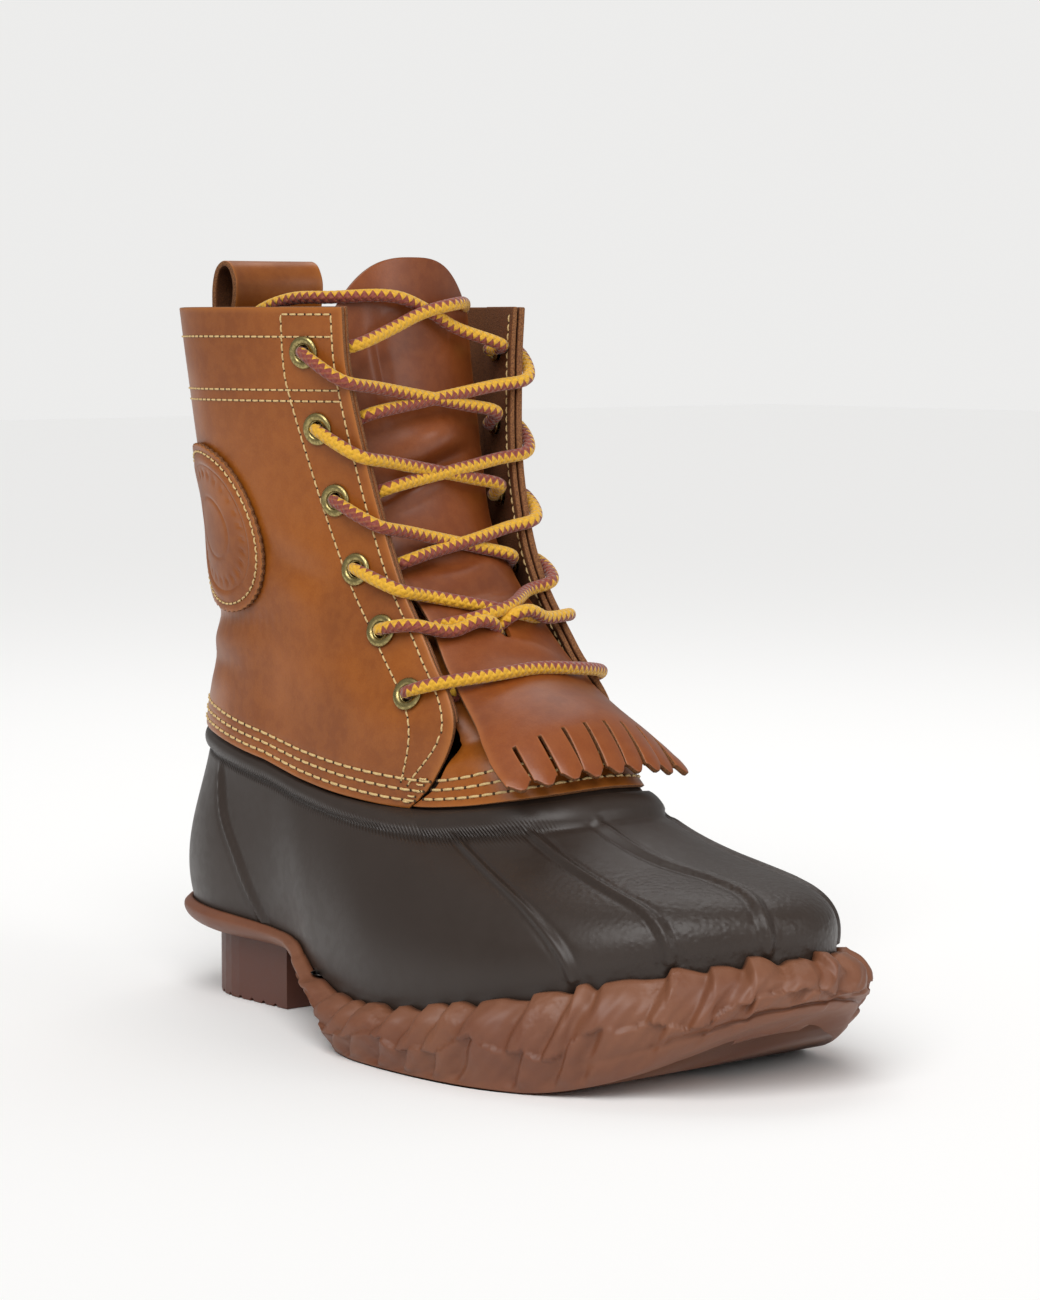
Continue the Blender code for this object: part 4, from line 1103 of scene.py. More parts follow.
@dataclass(frozen=True)
class RubberShell:
    """Moulded shell with ribs, a rolled and knurled lip, and a pebbled toe."""

    columns: int = 520
    rows: int = 90
    wall: float = 0.0025
    rib_height: float = 0.0013
    rib_width: float = 0.0017
    rib_fade: float = 0.14
    # Groove beside each rib: its share of the rib's height, its distance from the crest and its width.
    rib_groove: tuple[float, float, float] = (0.30, 0.0031, 0.0011)
    lip_roll: float = 0.0023
    lip_width: float = 0.0032
    # Groove under the lip: lip widths below the leather, width and depth.
    lip_groove: tuple[float, float, float] = (2.25, 0.0008, 0.0005)
    knurl_width: float = 0.0016
    # Ribs by turn and share from top to foot: those of both sides, and the one over the toe.
    side_ribs: tuple[tuple[tuple[float, float], ...], ...] = (
        ((0.33, 0.90), (0.357, 0.60), (0.402, 0.36), (0.432, 0.16), (0.46, 0.0)),
        ((1.14, 1.0), (1.15, 0.89), (1.18, 0.68), (1.205, 0.45), (1.22, 0.28), (1.257, 0.0)),
        ((1.50, 1.0), (1.52, 0.90), (1.515, 0.70), (1.505, 0.48), (1.515, 0.30), (1.52, 0.0)),
    )
    toe_turns: tuple[float, ...] = (-1.83, -1.86, -1.90, -1.95, -1.94, -1.88, -1.86)
    toe_shares: tuple[float, ...] = (1.0, 0.90, 0.70, 0.55, 0.40, 0.20, 0.0)

    def relief(self, turn: Array, share: Array) -> Array:
        """Height of ribs, rolled lip and knurl."""
        last = LAST
        found = np.zeros(turn.shape)
        step = last.step
        span = last._shell(turn + step, share) - last._shell(turn - step, share)
        across = np.linalg.norm(span, axis=-1) / (2 * step)
        depth, aside, width = self.rib_groove
        ribs = [[(side.value * t, s) for t, s in rib] for side in Side for rib in self.side_ribs]
        for rib in [*ribs, list(zip(self.toe_turns, self.toe_shares))]:
            top = rib[0][1]
            distance = (turn - Table("turn share", rib[::-1]).read("turn", "share", share)) * across
            ridge = hump(distance, self.rib_width) - depth * hump(np.abs(distance) - aside, width)
            found += self.rib_height * ridge * (1 - ease(top - self.rib_fade, top, share))
        rise = (last._shell(turn, np.ones_like(share)) - last._shell(turn, share))[..., 2]
        bead = np.sqrt(np.clip(1 - ((rise - self.lip_width) / self.lip_width) ** 2, 0.0, 1.0))
        fall, width, depth = self.lip_groove
        groove = -hump(rise - fall * self.lip_width, width) * depth
        return found * (1 - ease(0.0, 0.4, bead)) + bead * self.lip_roll + groove

    def build(self, finishes: Finishes) -> Object:
        """The shell's piece."""
        last = LAST
        turns = -2.0 + 4.0 * np.arange(self.columns) / self.columns
        along, side = last.feather(turns)
        rows = [last.place(along, side, last.deck(along) + 4 * last.gap)]
        rows.append(last.place(along, side, last.lip_height(turns) - 0.001))
        shares = np.linspace(0.0, 1.0, self.rows)
        for share in shares:
            held = np.full(self.columns, share)
            rows.append(last.shell(turns, held, self.relief(turns, held)))
        laps = np.linspace(0.0, last.rubber_lap, 5)[1:]
        rows += [last.leg(last.level_at(turns, rise), turns) for rise in laps]
        grid = np.array(rows)
        obj = grid_object("rubber_shell_skin", grid, closed=True)
        face_towards(obj, from_axis)
        toe = ease(1.15, 1.6, np.abs(turns))
        share_rows = np.concatenate([[0, 0], shares, np.ones(len(laps))])
        mark(obj, "pebble", toe[None, :] * (1 - ease(0.45, 0.85, share_rows))[:, None])
        mark(obj, "wear", np.zeros(grid[..., 0].size))
        mark(obj, "arc", np.repeat(walk(grid[-len(laps) - 2])[None, :], len(grid), 0))
        fall = last.topline_height(turns)[None, :] - grid[:, :, 2]
        band = hump(fall - 2.0 * self.lip_width, self.knurl_width)
        mark(obj, "knurl", band * ease(1.75, 1.3, np.abs(turns))[None, :])
        thicken(obj, self.wall, -1.0, (finishes.brown, finishes.brown, finishes.brown), soften=0.0)
        bake(obj)
        return dress(obj, Slot.BROWN, "rubber_shell")


@dataclass(frozen=True)
class Shaft:
    """Laced leather leg with its eyelet holes, soft creases and sewn edges."""

    columns: int = 300
    rows: int = 150
    stitch_dip: float = 0.00022
    # Creases: turn and level of each end, depth and width, on both sides and on one.
    side_creases: tuple[tuple[float, float, float, float, float, float], ...] = (
        (0.10, 0.26, 0.62, 0.33, 0.0011, 0.0060),
        (0.16, 0.36, 0.50, 0.41, 0.0007, 0.0045),
        (0.20, 0.16, 0.46, 0.20, 0.0008, 0.0050),
        (0.55, 0.50, 0.82, 0.42, 0.0006, 0.0055),
    )
    lone_creases: tuple[tuple[float, float, float, float, float, float], ...] = (
        (-0.26, 0.86, -0.20, 0.55, 0.0005, 0.0080),
        (0.30, 0.80, 0.24, 0.52, 0.0005, 0.0080),
    )

    def relief(self, level: Array, turn: Array) -> Array:
        """Soft troughs, and the leather drawn down along its stitches."""
        last = LAST
        here = last._leg(level, turn)
        found = np.zeros(turn.shape)
        creases = [
            (side.value * t0, l0, side.value * t1, l1, *form)
            for side in Side
            for t0, l0, t1, l1, *form in self.side_creases
        ]
        for t0, l0, t1, l1, depth, width in [*creases, *self.lone_creases]:
            line = last._leg(np.linspace(l0, l1, 24), np.linspace(t0, t1, 24))
            gaps = np.linalg.norm(here[..., None, :] - line, axis=-1)
            nearest, share = gaps.min(axis=-1), gaps.argmin(axis=-1) / (len(line) - 1)
            fade = np.sin(np.clip(share, 0.02, 0.98) * math.pi)
            found += depth * fade * (0.55 * hump(nearest - width * 1.4, width) - hump(nearest, width))
        rise = level * (last.collar_height - last.topline_height(turn))
        for row in FOOT_ROWS:
            found -= self.stitch_dip * hump(rise - row, 0.0008)
        return found

    def build(self, finishes: Finishes) -> Object:
        """The leg's piece."""
        last = LAST
        turns = np.linspace(-1.0, 1.0, self.columns)
        low = last.level_at(turns, LEATHER_START)
        level, turn = last.leg_grid(turns, low, 1.0, np.linspace(0.0, 1.0, self.rows))
        relief = self.relief(level, turn) * ease(0.004, 0.012, level)
        obj = grid_object("shaft_leather", last.leg(level, turn, last.gap + relief))
        face_towards(obj, from_axis)
        rise = level * (last.collar_height - last.topline_height(turn))
        wear = np.maximum(hump(rise, 0.0016), hump((1 - level) * 0.15, 0.0012))
        mark(obj, "wear", np.maximum(wear, hump((1 - np.abs(turn)) * 0.09, 0.0010)) * 0.8)
        thicken(obj, last.leather, 1.0, (finishes.tan, finishes.flesh, finishes.edge))
        punch(obj, list(Side))
        bake(obj)
        return dress(obj, Slot.TAN, "shaft")


@dataclass(frozen=True)
class EyeletRows:
    """Where the eyelets sit."""

    shares: tuple[float, ...] = (0.9375, 0.832, 0.733, 0.638, 0.556, 0.474)
    inset: float = 0.0145

    def seat(self, row: int, side: Side) -> tuple[Array, Array]:
        """Centre of an eyelet on the shaft's outer face, and the outward direction there."""
        last = LAST
        height = self.shares[row] * last.collar_height
        level = last.level_of(1.0, height)
        at = (level, side.value * last.edge_turn(level, self.inset))
        return last.leg(*at, last.gap + last.leather), last.leg_normal(*at)


SEATS = EyeletRows()


def punch(obj: Object, sides: Sequence[Side], radius: float = 0.0035, depth: float = 0.012) -> None:
    """Cuts the eyelet holes through a leather piece."""
    places = []
    for side in sides:
        for row in range(len(SEATS.shares)):
            seat, outward = SEATS.seat(row, side)
            turn = Vector(outward).to_track_quat("Z", "Y").to_matrix().to_4x4()
            places.append(Matrix.Translation(Vector(seat)) @ turn)
    cut_with_cylinders(obj, places, radius, depth)


def cut_with_cylinders(obj: Object, places: Sequence[Matrix], radius: float, depth: float) -> None:
    """Cuts cylinders out of a piece, each along the Z axis of its place."""
    found = bmesh.new()
    sizes = {"cap_ends": True, "segments": 24, "radius1": radius, "radius2": radius, "depth": depth}
    for place in places:
        bmesh.ops.create_cone(found, matrix=place, **sizes)
    mesh = bpy.data.meshes.new("hole_cutter")
    found.to_mesh(mesh)
    found.free()
    cutter = bpy.data.objects.new("hole_cutter", mesh)
    bpy.context.scene.collection.objects.link(cutter)
    cut = obj.modifiers.new("holes", "BOOLEAN")
    cut.operation = "DIFFERENCE"
    cut.object = cutter
    bpy.context.view_layer.update()
    bake(obj)
    bpy.data.objects.remove(cutter, do_unlink=True)


@dataclass(frozen=True)
class Gusset:
    """Front leather piece over the rubber, and the bellows behind the facings."""

    gap_turn: float = 0.063
    seam_turn: float = 0.014
    seam_rise: float = 0.055
    inset: float = 0.029
    depth: float = 0.0060
    top: float = 0.80
    wall: float = 0.0012
    columns: int = 160
    rows: int = 90

    def point(self, level: Array, turn: Array, offset: float) -> Array:
        """Like Last.leg, but above the rubber it leaves the throat's edge and fans out behind the facings."""
        last = LAST
        dive, spread = ease(0.065, 0.135, level), ease(0.13, 0.32, level)
        way = np.where(turn < 0, -1.0, 1.0)
        share = (np.abs(turn) - 1.0 - self.gap_turn) / (1.0 - self.gap_turn)
        sample = np.linspace(0.0, 1.0, 60)
        spreads = [float(ease(0.13, 0.32, v)) for v in sample]
        starts = [
            last.edge_turn(v, self.inset * wide) if wide > 0 else 1.0 + self.gap_turn
            for v, wide in zip(sample, spreads)
        ]
        start = last.leg(level, way * np.interp(level, sample, starts), offset - dive * self.depth)
        nose = last.leg(level, 2.0, offset)
        plain = last.leg(level, turn, offset)
        along, side = last.heel_centre - start[..., 1], start[..., 0]
        nose_along = last.heel_centre - nose[..., 1]
        lead = 1.6 * (nose_along - along)
        fan_along = hermite(along, lead, nose_along, 0.0, share)
        fan_side = hermite(side, -0.3 * side, 0.0, -1.7 * side, share)
        fan = last.place(fan_along, fan_side, start[..., 2] + (nose[..., 2] - start[..., 2]) * share)
        mix = np.maximum(dive, spread)[..., None]
        return plain * (1 - mix) + fan * mix

    def build(self, finishes: Finishes) -> Object:
        """The piece."""
        last = LAST
        edge = 1.0 + self.gap_turn
        half = np.linspace(edge, 2.0, self.columns // 2)
        turns = np.concatenate([half, -half[::-1][1:]])
        low = last.level_at(turns, LEATHER_START)
        level, turn = last.leg_grid(turns, low, self.top, np.linspace(0.0, 1.0, self.rows) ** 1.15)
        seam = (self.gap_turn - self.seam_turn) * (1 - ease(0.0, self.seam_rise, level))
        turn = np.sign(turn) * (2 - (2 - np.abs(turn)) * (1 + seam / (2 - edge)))
        obj = grid_object("front_leather", self.point(level, turn, last.gap))
        face_towards(obj, from_axis)
        rise = level * (last.collar_height - last.topline_height(turn))
        mark(obj, "wear", hump(rise, 0.0016) * 0.8)
        thicken(obj, self.wall, 1.0, (finishes.tan, finishes.flesh, finishes.edge), soften=0.0003)
        bake(obj)
        return dress(obj, Slot.DARK, "gusset")


@dataclass(frozen=True)
class Facings:
    """Second leather layer inside each throat edge."""

    width: float = 0.026
    wall: float = 0.0016
    rows: int = 110
    columns: int = 24

    def build(self, finishes: Finishes) -> list[Object]:
        """The two pieces."""
        last = LAST
        found = []
        low = last.level_at(1.0, last.rubber_lap)
        low = low + (1.0 - low) / 8
        levels = np.linspace(low, 1.0, self.rows)
        back = last.edge_turns(levels, self.width)
        turn = back[:, None] + (1.0 - back[:, None]) * np.linspace(0.0, 1.0, self.columns)[None, :]
        level = np.repeat(levels[:, None], self.columns, 1)
        for side in Side:
            points = last.leg(level, side.value * turn, -last.gap)
            obj = grid_object(f"facing_leather_{side.name.lower()}", points)
            face_towards(obj, from_axis)
            mark(obj, "wear", np.zeros(level.size))
            thicken(obj, self.wall, -1.0, (finishes.tan, finishes.flesh, finishes.edge))
            punch(obj, [side])
            bake(obj)
            found.append(dress(obj, Slot.TAN, f"facing_{side.name.lower()}"))
        return found


@dataclass(frozen=True)
class Overlays:
    """Backstay strip and the round side patch."""

    leather: float = 0.0014
    backstay_height: float = 0.052
    backstay_turn: float = 0.125
    backstay_round: float = 0.005
    patch_radius: float = 0.028
    patch_height: float = 0.160
    patch_turn: float = -0.405
    patch_columns: int = 240
    patch_rows: int = 46
    press: float = 0.0003
    strip_columns: int = 40
    strip_rows: int = 80

    def build_backstay(self, finishes: Finishes) -> Object:
        """Strip up the back seam."""
        last = LAST
        turns = np.linspace(-self.backstay_turn, self.backstay_turn, self.strip_columns)
        top = last.topline + self.backstay_height - self.backstay_round * (turns / self.backstay_turn) ** 4
        low = last.level_at(turns, LEATHER_START)
        shares = np.linspace(0.0, 1.0, self.strip_rows)
        level, turn = last.leg_grid(turns, low, last.level_of(turns, top), shares)
        obj = grid_object("backstay_leather", last.leg(level, turn, 2 * last.gap + last.leather))
        face_towards(obj, from_axis)
        mark(obj, "wear", hump((self.backstay_turn - np.abs(turn)) * 0.1, 0.001))
        thicken(obj, self.leather, 1.0, (finishes.kiltie, finishes.flesh, finishes.edge))
        bake(obj)
        return dress(obj, Slot.TAN, "backstay")

    def patch_point(self, radius: Array, angle: Array, offset: Array) -> Array:
        """Points of the patch in its own round coordinates."""
        last = LAST
        turn0 = self.patch_turn
        level0 = last.level_of(turn0, self.patch_height)
        step = last.step
        across = last._leg(level0, turn0 + step) - last._leg(level0, turn0 - step)
        up = last._leg(level0 + step, turn0) - last._leg(level0 - step, turn0)
        turn = turn0 + radius * np.cos(angle) / (np.linalg.norm(across) / (2 * step))
        level = level0 + radius * np.sin(angle) / (np.linalg.norm(up) / (2 * step))
        return last.leg(level, turn, offset)

    def build_patch(self, finishes: Finishes) -> Object:
        """Round patch with a pinked edge, a stitch ring and a plain pressed ring."""
        last = LAST
        angles = np.linspace(0, 2 * math.pi, self.patch_columns, endpoint=False)
        radii = np.linspace(0.02, 1.0, self.patch_rows)
        radius = np.repeat(radii[:, None], self.patch_columns, 1) * self.patch_radius
        pink = 1.0 - 0.018 * (0.5 + 0.5 * np.sin(angles * 60)) * (1 + 0.3 * np.sin(angles * 7))
        radius = np.where(radii[:, None] > 0.97, radius * pink[None, :], radius)
        angle = np.repeat(angles[None, :], self.patch_rows, 0)
        share = radius / self.patch_radius
        rings = hump(share - 0.80, 0.02) - hump(share - 0.90, 0.03) - hump(share - 0.36, 0.025)
        dashes = ease(-0.2, 0.3, np.sin(angle * 26)) * hump(share - 0.64, 0.05)
        press = self.press * (rings - dashes - 1.5 * ease(0.80, 0.76, share))
        points = self.patch_point(radius, angle, 3 * last.gap + last.leather + press)
        obj = grid_object("side_patch_leather", points, closed=True)
        fill_rings(obj, range(self.patch_columns))
        face_towards(obj, from_axis)
        mark(obj, "wear", ease(0.95, 1.0, share) * 0.7)
        thicken(obj, self.leather, 1.0, (finishes.tan, finishes.flesh, finishes.edge), soften=0.0)
        bake(obj)
        return dress(obj, Slot.TAN, "side_patch")


@dataclass(frozen=True)
class PullLoop:
    """Strap bent into a loop inside the back of the collar."""

    width: float = 0.038
    wall: float = 0.0018
    rise: float = 0.0155
    depth: float = 0.0120
    foot: float = 0.022
    columns: int = 28
    rows: int = 90
    middle: tuple[float, float, float] = (0, 0.026, 0.225)

    def build(self, finishes: Finishes) -> Object:
        """The piece."""
        last = LAST
        steps = np.linspace(0, PULL_LOOP.column("step")[-1], self.rows)
        half = last.collar_width / 2 * LEVELS.column("half")[-1]
        sides = self.width * (np.linspace(0, 1, self.columns) - 0.5)
        angle = np.arcsin(np.abs(sides / half) ** (1 / last.back_fullness))
        turn = np.sign(sides) * angle / math.pi
        deep = PULL_LOOP.read("deep", "step", steps)
        up = PULL_LOOP.read("up", "step", steps)
        height = up * np.where(up > 0, self.rise, self.foot)
        level = 1.0 + last.level_at(turn[None, :], np.minimum(height, 0.0)[:, None])
        turns = np.repeat(turn[None, :], self.rows, 0)
        points = last.leg(level, turns, -last.gap - self.wall / 2)
        points[..., 1] -= (deep * self.depth)[:, None]
        points[..., 2] += np.maximum(height, 0.0)[:, None]
        obj = grid_object("pull_loop_leather", points)
        face_towards(obj, lambda centre: centre - Vector(self.middle))
        edge = hump(self.width / 2 - np.abs(sides), 0.0012)
        mark(obj, "wear", np.repeat(edge[None, :], self.rows, 0) * 0.7)
        thicken(obj, self.wall, 0.0, (finishes.tan, finishes.flesh, finishes.edge))
        bake(obj)
        return dress(obj, Slot.TAN, "pull_loop")


@dataclass(frozen=True)
class Tongue:
    """Tongue with its folds, whose lower end is cut into a fringe of pointed strips."""

    wall: float = 0.0018
    length: float = 0.2025
    round_off: float = 0.018
    fringe: float = 0.019
    slot: float = 0.0011
    point: float = 0.0030
    strips: int = 9
    slit_run: float = 0.352
    slit_across: float = -0.03
    slit_half_width: float = 0.0023
    slit_half_length: float = 0.0056
    strip_columns: int = 11
    strip_rows: int = 22
    body_rows: int = 150
    seed: int = 4
    # The pressed oval: its half width, half height and height on the tongue.
    oval: tuple[float, float, float] = (0.014, 0.008, 0.178)
    fold_height: float = 1.35
    # Folds: place across and up the tongue, half width and half height, turn, and height or depth.
    folds: tuple[tuple[float, float, float, float, float, float], ...] = (
        (0.001, 0.144, 0.013, 0.006, 0.25, 0.0028),
        (0.002, 0.1345, 0.015, 0.003, 0.30, -0.0026),
        (-0.008, 0.127, 0.012, 0.003, 0.45, 0.0018),
        (-0.010, 0.100, 0.012, 0.004, -0.2, -0.0012),
        (0.008, 0.096, 0.014, 0.004, 0.3, 0.0012),
        (-0.0145, 0.168, 0.0025, 0.012, 0.1, -0.0010),
        (-0.0175, 0.168, 0.0025, 0.012, 0.1, 0.0007),
        (0.004, 0.086, 0.016, 0.003, 0.15, -0.0010),
        (0.006, 0.062, 0.012, 0.004, -0.3, 0.0008),
    )

    def cut_slit(self, obj: Object) -> None:
        """Opens the lens-shaped slit that the lace passes through."""
        run, across = self.slit_run, self.slit_across
        middle = Vector(LAST.tongue(run, across))
        outward = Vector(LAST.tongue_normal(run, across))
        along = Vector(LAST.tongue(run + 0.02, across) - LAST.tongue(run - 0.02, across)).normalized()
        axes = Matrix((along.cross(outward), along, outward)).transposed().to_4x4()
        lens = Matrix.Diagonal((self.slit_half_width, self.slit_half_length, 1.0, 1.0))
        cut_with_cylinders(obj, [Matrix.Translation(middle) @ axes @ lens], 1.0, 0.010)

    def relief(self, run: Array, across: Array) -> Array:
        """Folds of the tongue, as soft troughs and ridges."""
        half = TONGUE.read("half", "run", run) * LAST.tongue_width / 2
        x, y = across * half, run * self.length
        found = np.zeros(run.shape)
        for cx, cy, wide, tall, turn, height in self.folds:
            c, s = math.cos(turn), math.sin(turn)
            u = ((x - cx) * c + (y - cy) * s) / wide
            v = (-(x - cx) * s + (y - cy) * c) / tall
            found += self.fold_height * height * np.exp(-u * u - v * v)
        wide, tall, middle = self.oval
        oval = np.hypot(x / wide, (y - middle) / tall)
        return found - 0.00025 * hump(oval - 1.0, 0.06) - 0.0002 * ease(1.0, 0.9, oval)

    def build(self, finishes: Finishes) -> Object:
        """The piece."""
        last = LAST
        width = float(TONGUE.column("half")[0]) * last.tongue_width
        slot = self.slot / width * 2
        strip = (2.0 - slot * (self.strips - 1)) / self.strips
        per = self.strip_columns
        lefts = -1.0 + np.arange(self.strips) * (strip + slot)
        across = np.concatenate([np.linspace(left, left + strip, per) for left in lefts])
        tip = np.tile(np.linspace(-1, 1, per), self.strips)
        root = self.fringe / self.length
        low_shares = np.linspace(0.0, 1.0, self.strip_rows)[:, None]
        start = self.point / self.length * np.clip(np.abs(tip) * 1.7 - 0.45, 0, 1)
        high_runs = np.linspace(root, 1.0, self.body_rows)[1:, None]
        rounding = self.round_off / self.length * np.abs(across) ** 3
        rounded = high_runs - rounding * ease(0.80, 1.0, high_runs)
        run = np.concatenate([start + (root - start) * low_shares, rounded])
        spread = np.repeat(across[None, :], len(run), 0)
        lift = np.random.default_rng(self.seed).uniform(-0.0004, 0.0010, self.strips)
        loose = 1 - ease(0.0, root, run)
        curl = 0.0006 * (1 - tip[None, :] ** 2) * loose
        relief = self.relief(run, spread) + np.repeat(lift, per)[None, :] * loose + curl
        points = last.tongue(run, spread) + last.tongue_normal(run, spread) * relief[..., None]
        skip = np.zeros((len(run) - 1, len(across) - 1), bool)
        for k in range(1, self.strips):
            skip[: self.strip_rows - 1, k * per - 1] = True
        obj = grid_object("tongue_leather", points, skip=skip)
        face_towards(obj, lambda centre: Vector((0, -1, 0.3)))
        strip_edge = hump((1 - np.abs(tip[None, :])) * 0.004, 0.0005) * (run < root)
        mark(obj, "wear", np.maximum(hump((1 - np.abs(spread)) * 0.028, 0.0012), strip_edge) * 0.8)
        thicken(obj, self.wall, 0.0, (finishes.kiltie, finishes.flesh, finishes.edge), soften=0.00025)
        bake(obj)
        self.cut_slit(obj)
        return dress(obj, Slot.TAN, "tongue")


def repeat_tree(
    name: str,
    shape: Callable[[NodeTree], NodeSocket],
    sizes: dict[str, float],
    material: Material,
) -> NodeTree:
    """Geometry Nodes tree that sets one shape on every point, turned by its 'forward' and 'outward' vectors.

    Args:
        name: Name of the tree.
        shape: Adds the shape's nodes and returns their geometry.
        sizes: Named inputs and their defaults.
        material: Material of the shapes.

    Returns:
        The tree.
    """
    tree = bpy.data.node_groups.new(name, "GeometryNodeTree")
    tree.interface.new_socket("Geometry", in_out="INPUT", socket_type="NodeSocketGeometry")
    tree.interface.new_socket("Geometry", in_out="OUTPUT", socket_type="NodeSocketGeometry")
    for label, default in sizes.items():
        socket = tree.interface.new_socket(label, in_out="INPUT", socket_type="NodeSocketFloat")
        socket.default_value = default
    given, out = tree.nodes.new("NodeGroupInput"), tree.nodes.new("NodeGroupOutput")
    points = tree.nodes.new("GeometryNodeMeshToPoints")
    place = tree.nodes.new("GeometryNodeInstanceOnPoints")
    real = tree.nodes.new("GeometryNodeRealizeInstances")
    paint = tree.nodes.new("GeometryNodeSetMaterial")
    paint.inputs["Material"].default_value = material
    smooth = tree.nodes.new("GeometryNodeSetShadeSmooth")
    turn = tree.nodes.new("FunctionNodeAxesToRotation")
    turn.primary_axis = "Z"
    turn.secondary_axis = "X"
    for label, socket in (("outward", turn.inputs[0]), ("forward", turn.inputs[1])):
        held = tree.nodes.new("GeometryNodeInputNamedAttribute")
        held.data_type = "FLOAT_VECTOR"
        held.inputs["Name"].default_value = label
        tree.links.new(held.outputs["Attribute"], socket)
    tree.links.new(given.outputs[0], points.inputs[0])
    tree.links.new(points.outputs[0], place.inputs["Points"])
    tree.links.new(shape(tree), place.inputs["Instance"])
    tree.links.new(turn.outputs[0], place.inputs["Rotation"])
    tree.links.new(place.outputs[0], real.inputs[0])
    tree.links.new(real.outputs[0], smooth.inputs[0])
    tree.links.new(smooth.outputs[0], paint.inputs[0])
    tree.links.new(paint.outputs[0], out.inputs[0])
    return tree


def repeat_on(
    name: str, places: Array, forwards: Array, outwards: Array, tree: NodeTree, sizes: dict[str, float]
) -> Object:
    """Runs a repeating tree over points and returns the plain mesh it makes.

    Args:
        name: Name of the new object.
        places: Points.
        forwards: Forward direction at each.
        outwards: Outward direction at each.
        tree: The tree to run.
        sizes: Values of its named inputs.

    Returns:
        The object, without its modifier.
    """
    mesh = bpy.data.meshes.new(name)
    mesh.from_pydata(places.tolist(), [], [])
    for label, rows in (("forward", forwards), ("outward", outwards)):
        layer = mesh.attributes.new(label, "FLOAT_VECTOR", "POINT")
        layer.data.foreach_set("vector", np.ascontiguousarray(rows, np.float32).ravel())
    obj = bpy.data.objects.new(name, mesh)
    bpy.context.scene.collection.objects.link(obj)
    held = obj.modifiers.new("repeat", "NODES")
    held.node_group = tree
    for item in tree.interface.items_tree:
        if item.item_type == "SOCKET" and item.in_out == "INPUT" and item.name in sizes:
            held[item.identifier] = sizes[item.name]
    bpy.context.view_layer.update()
    return bake(obj)


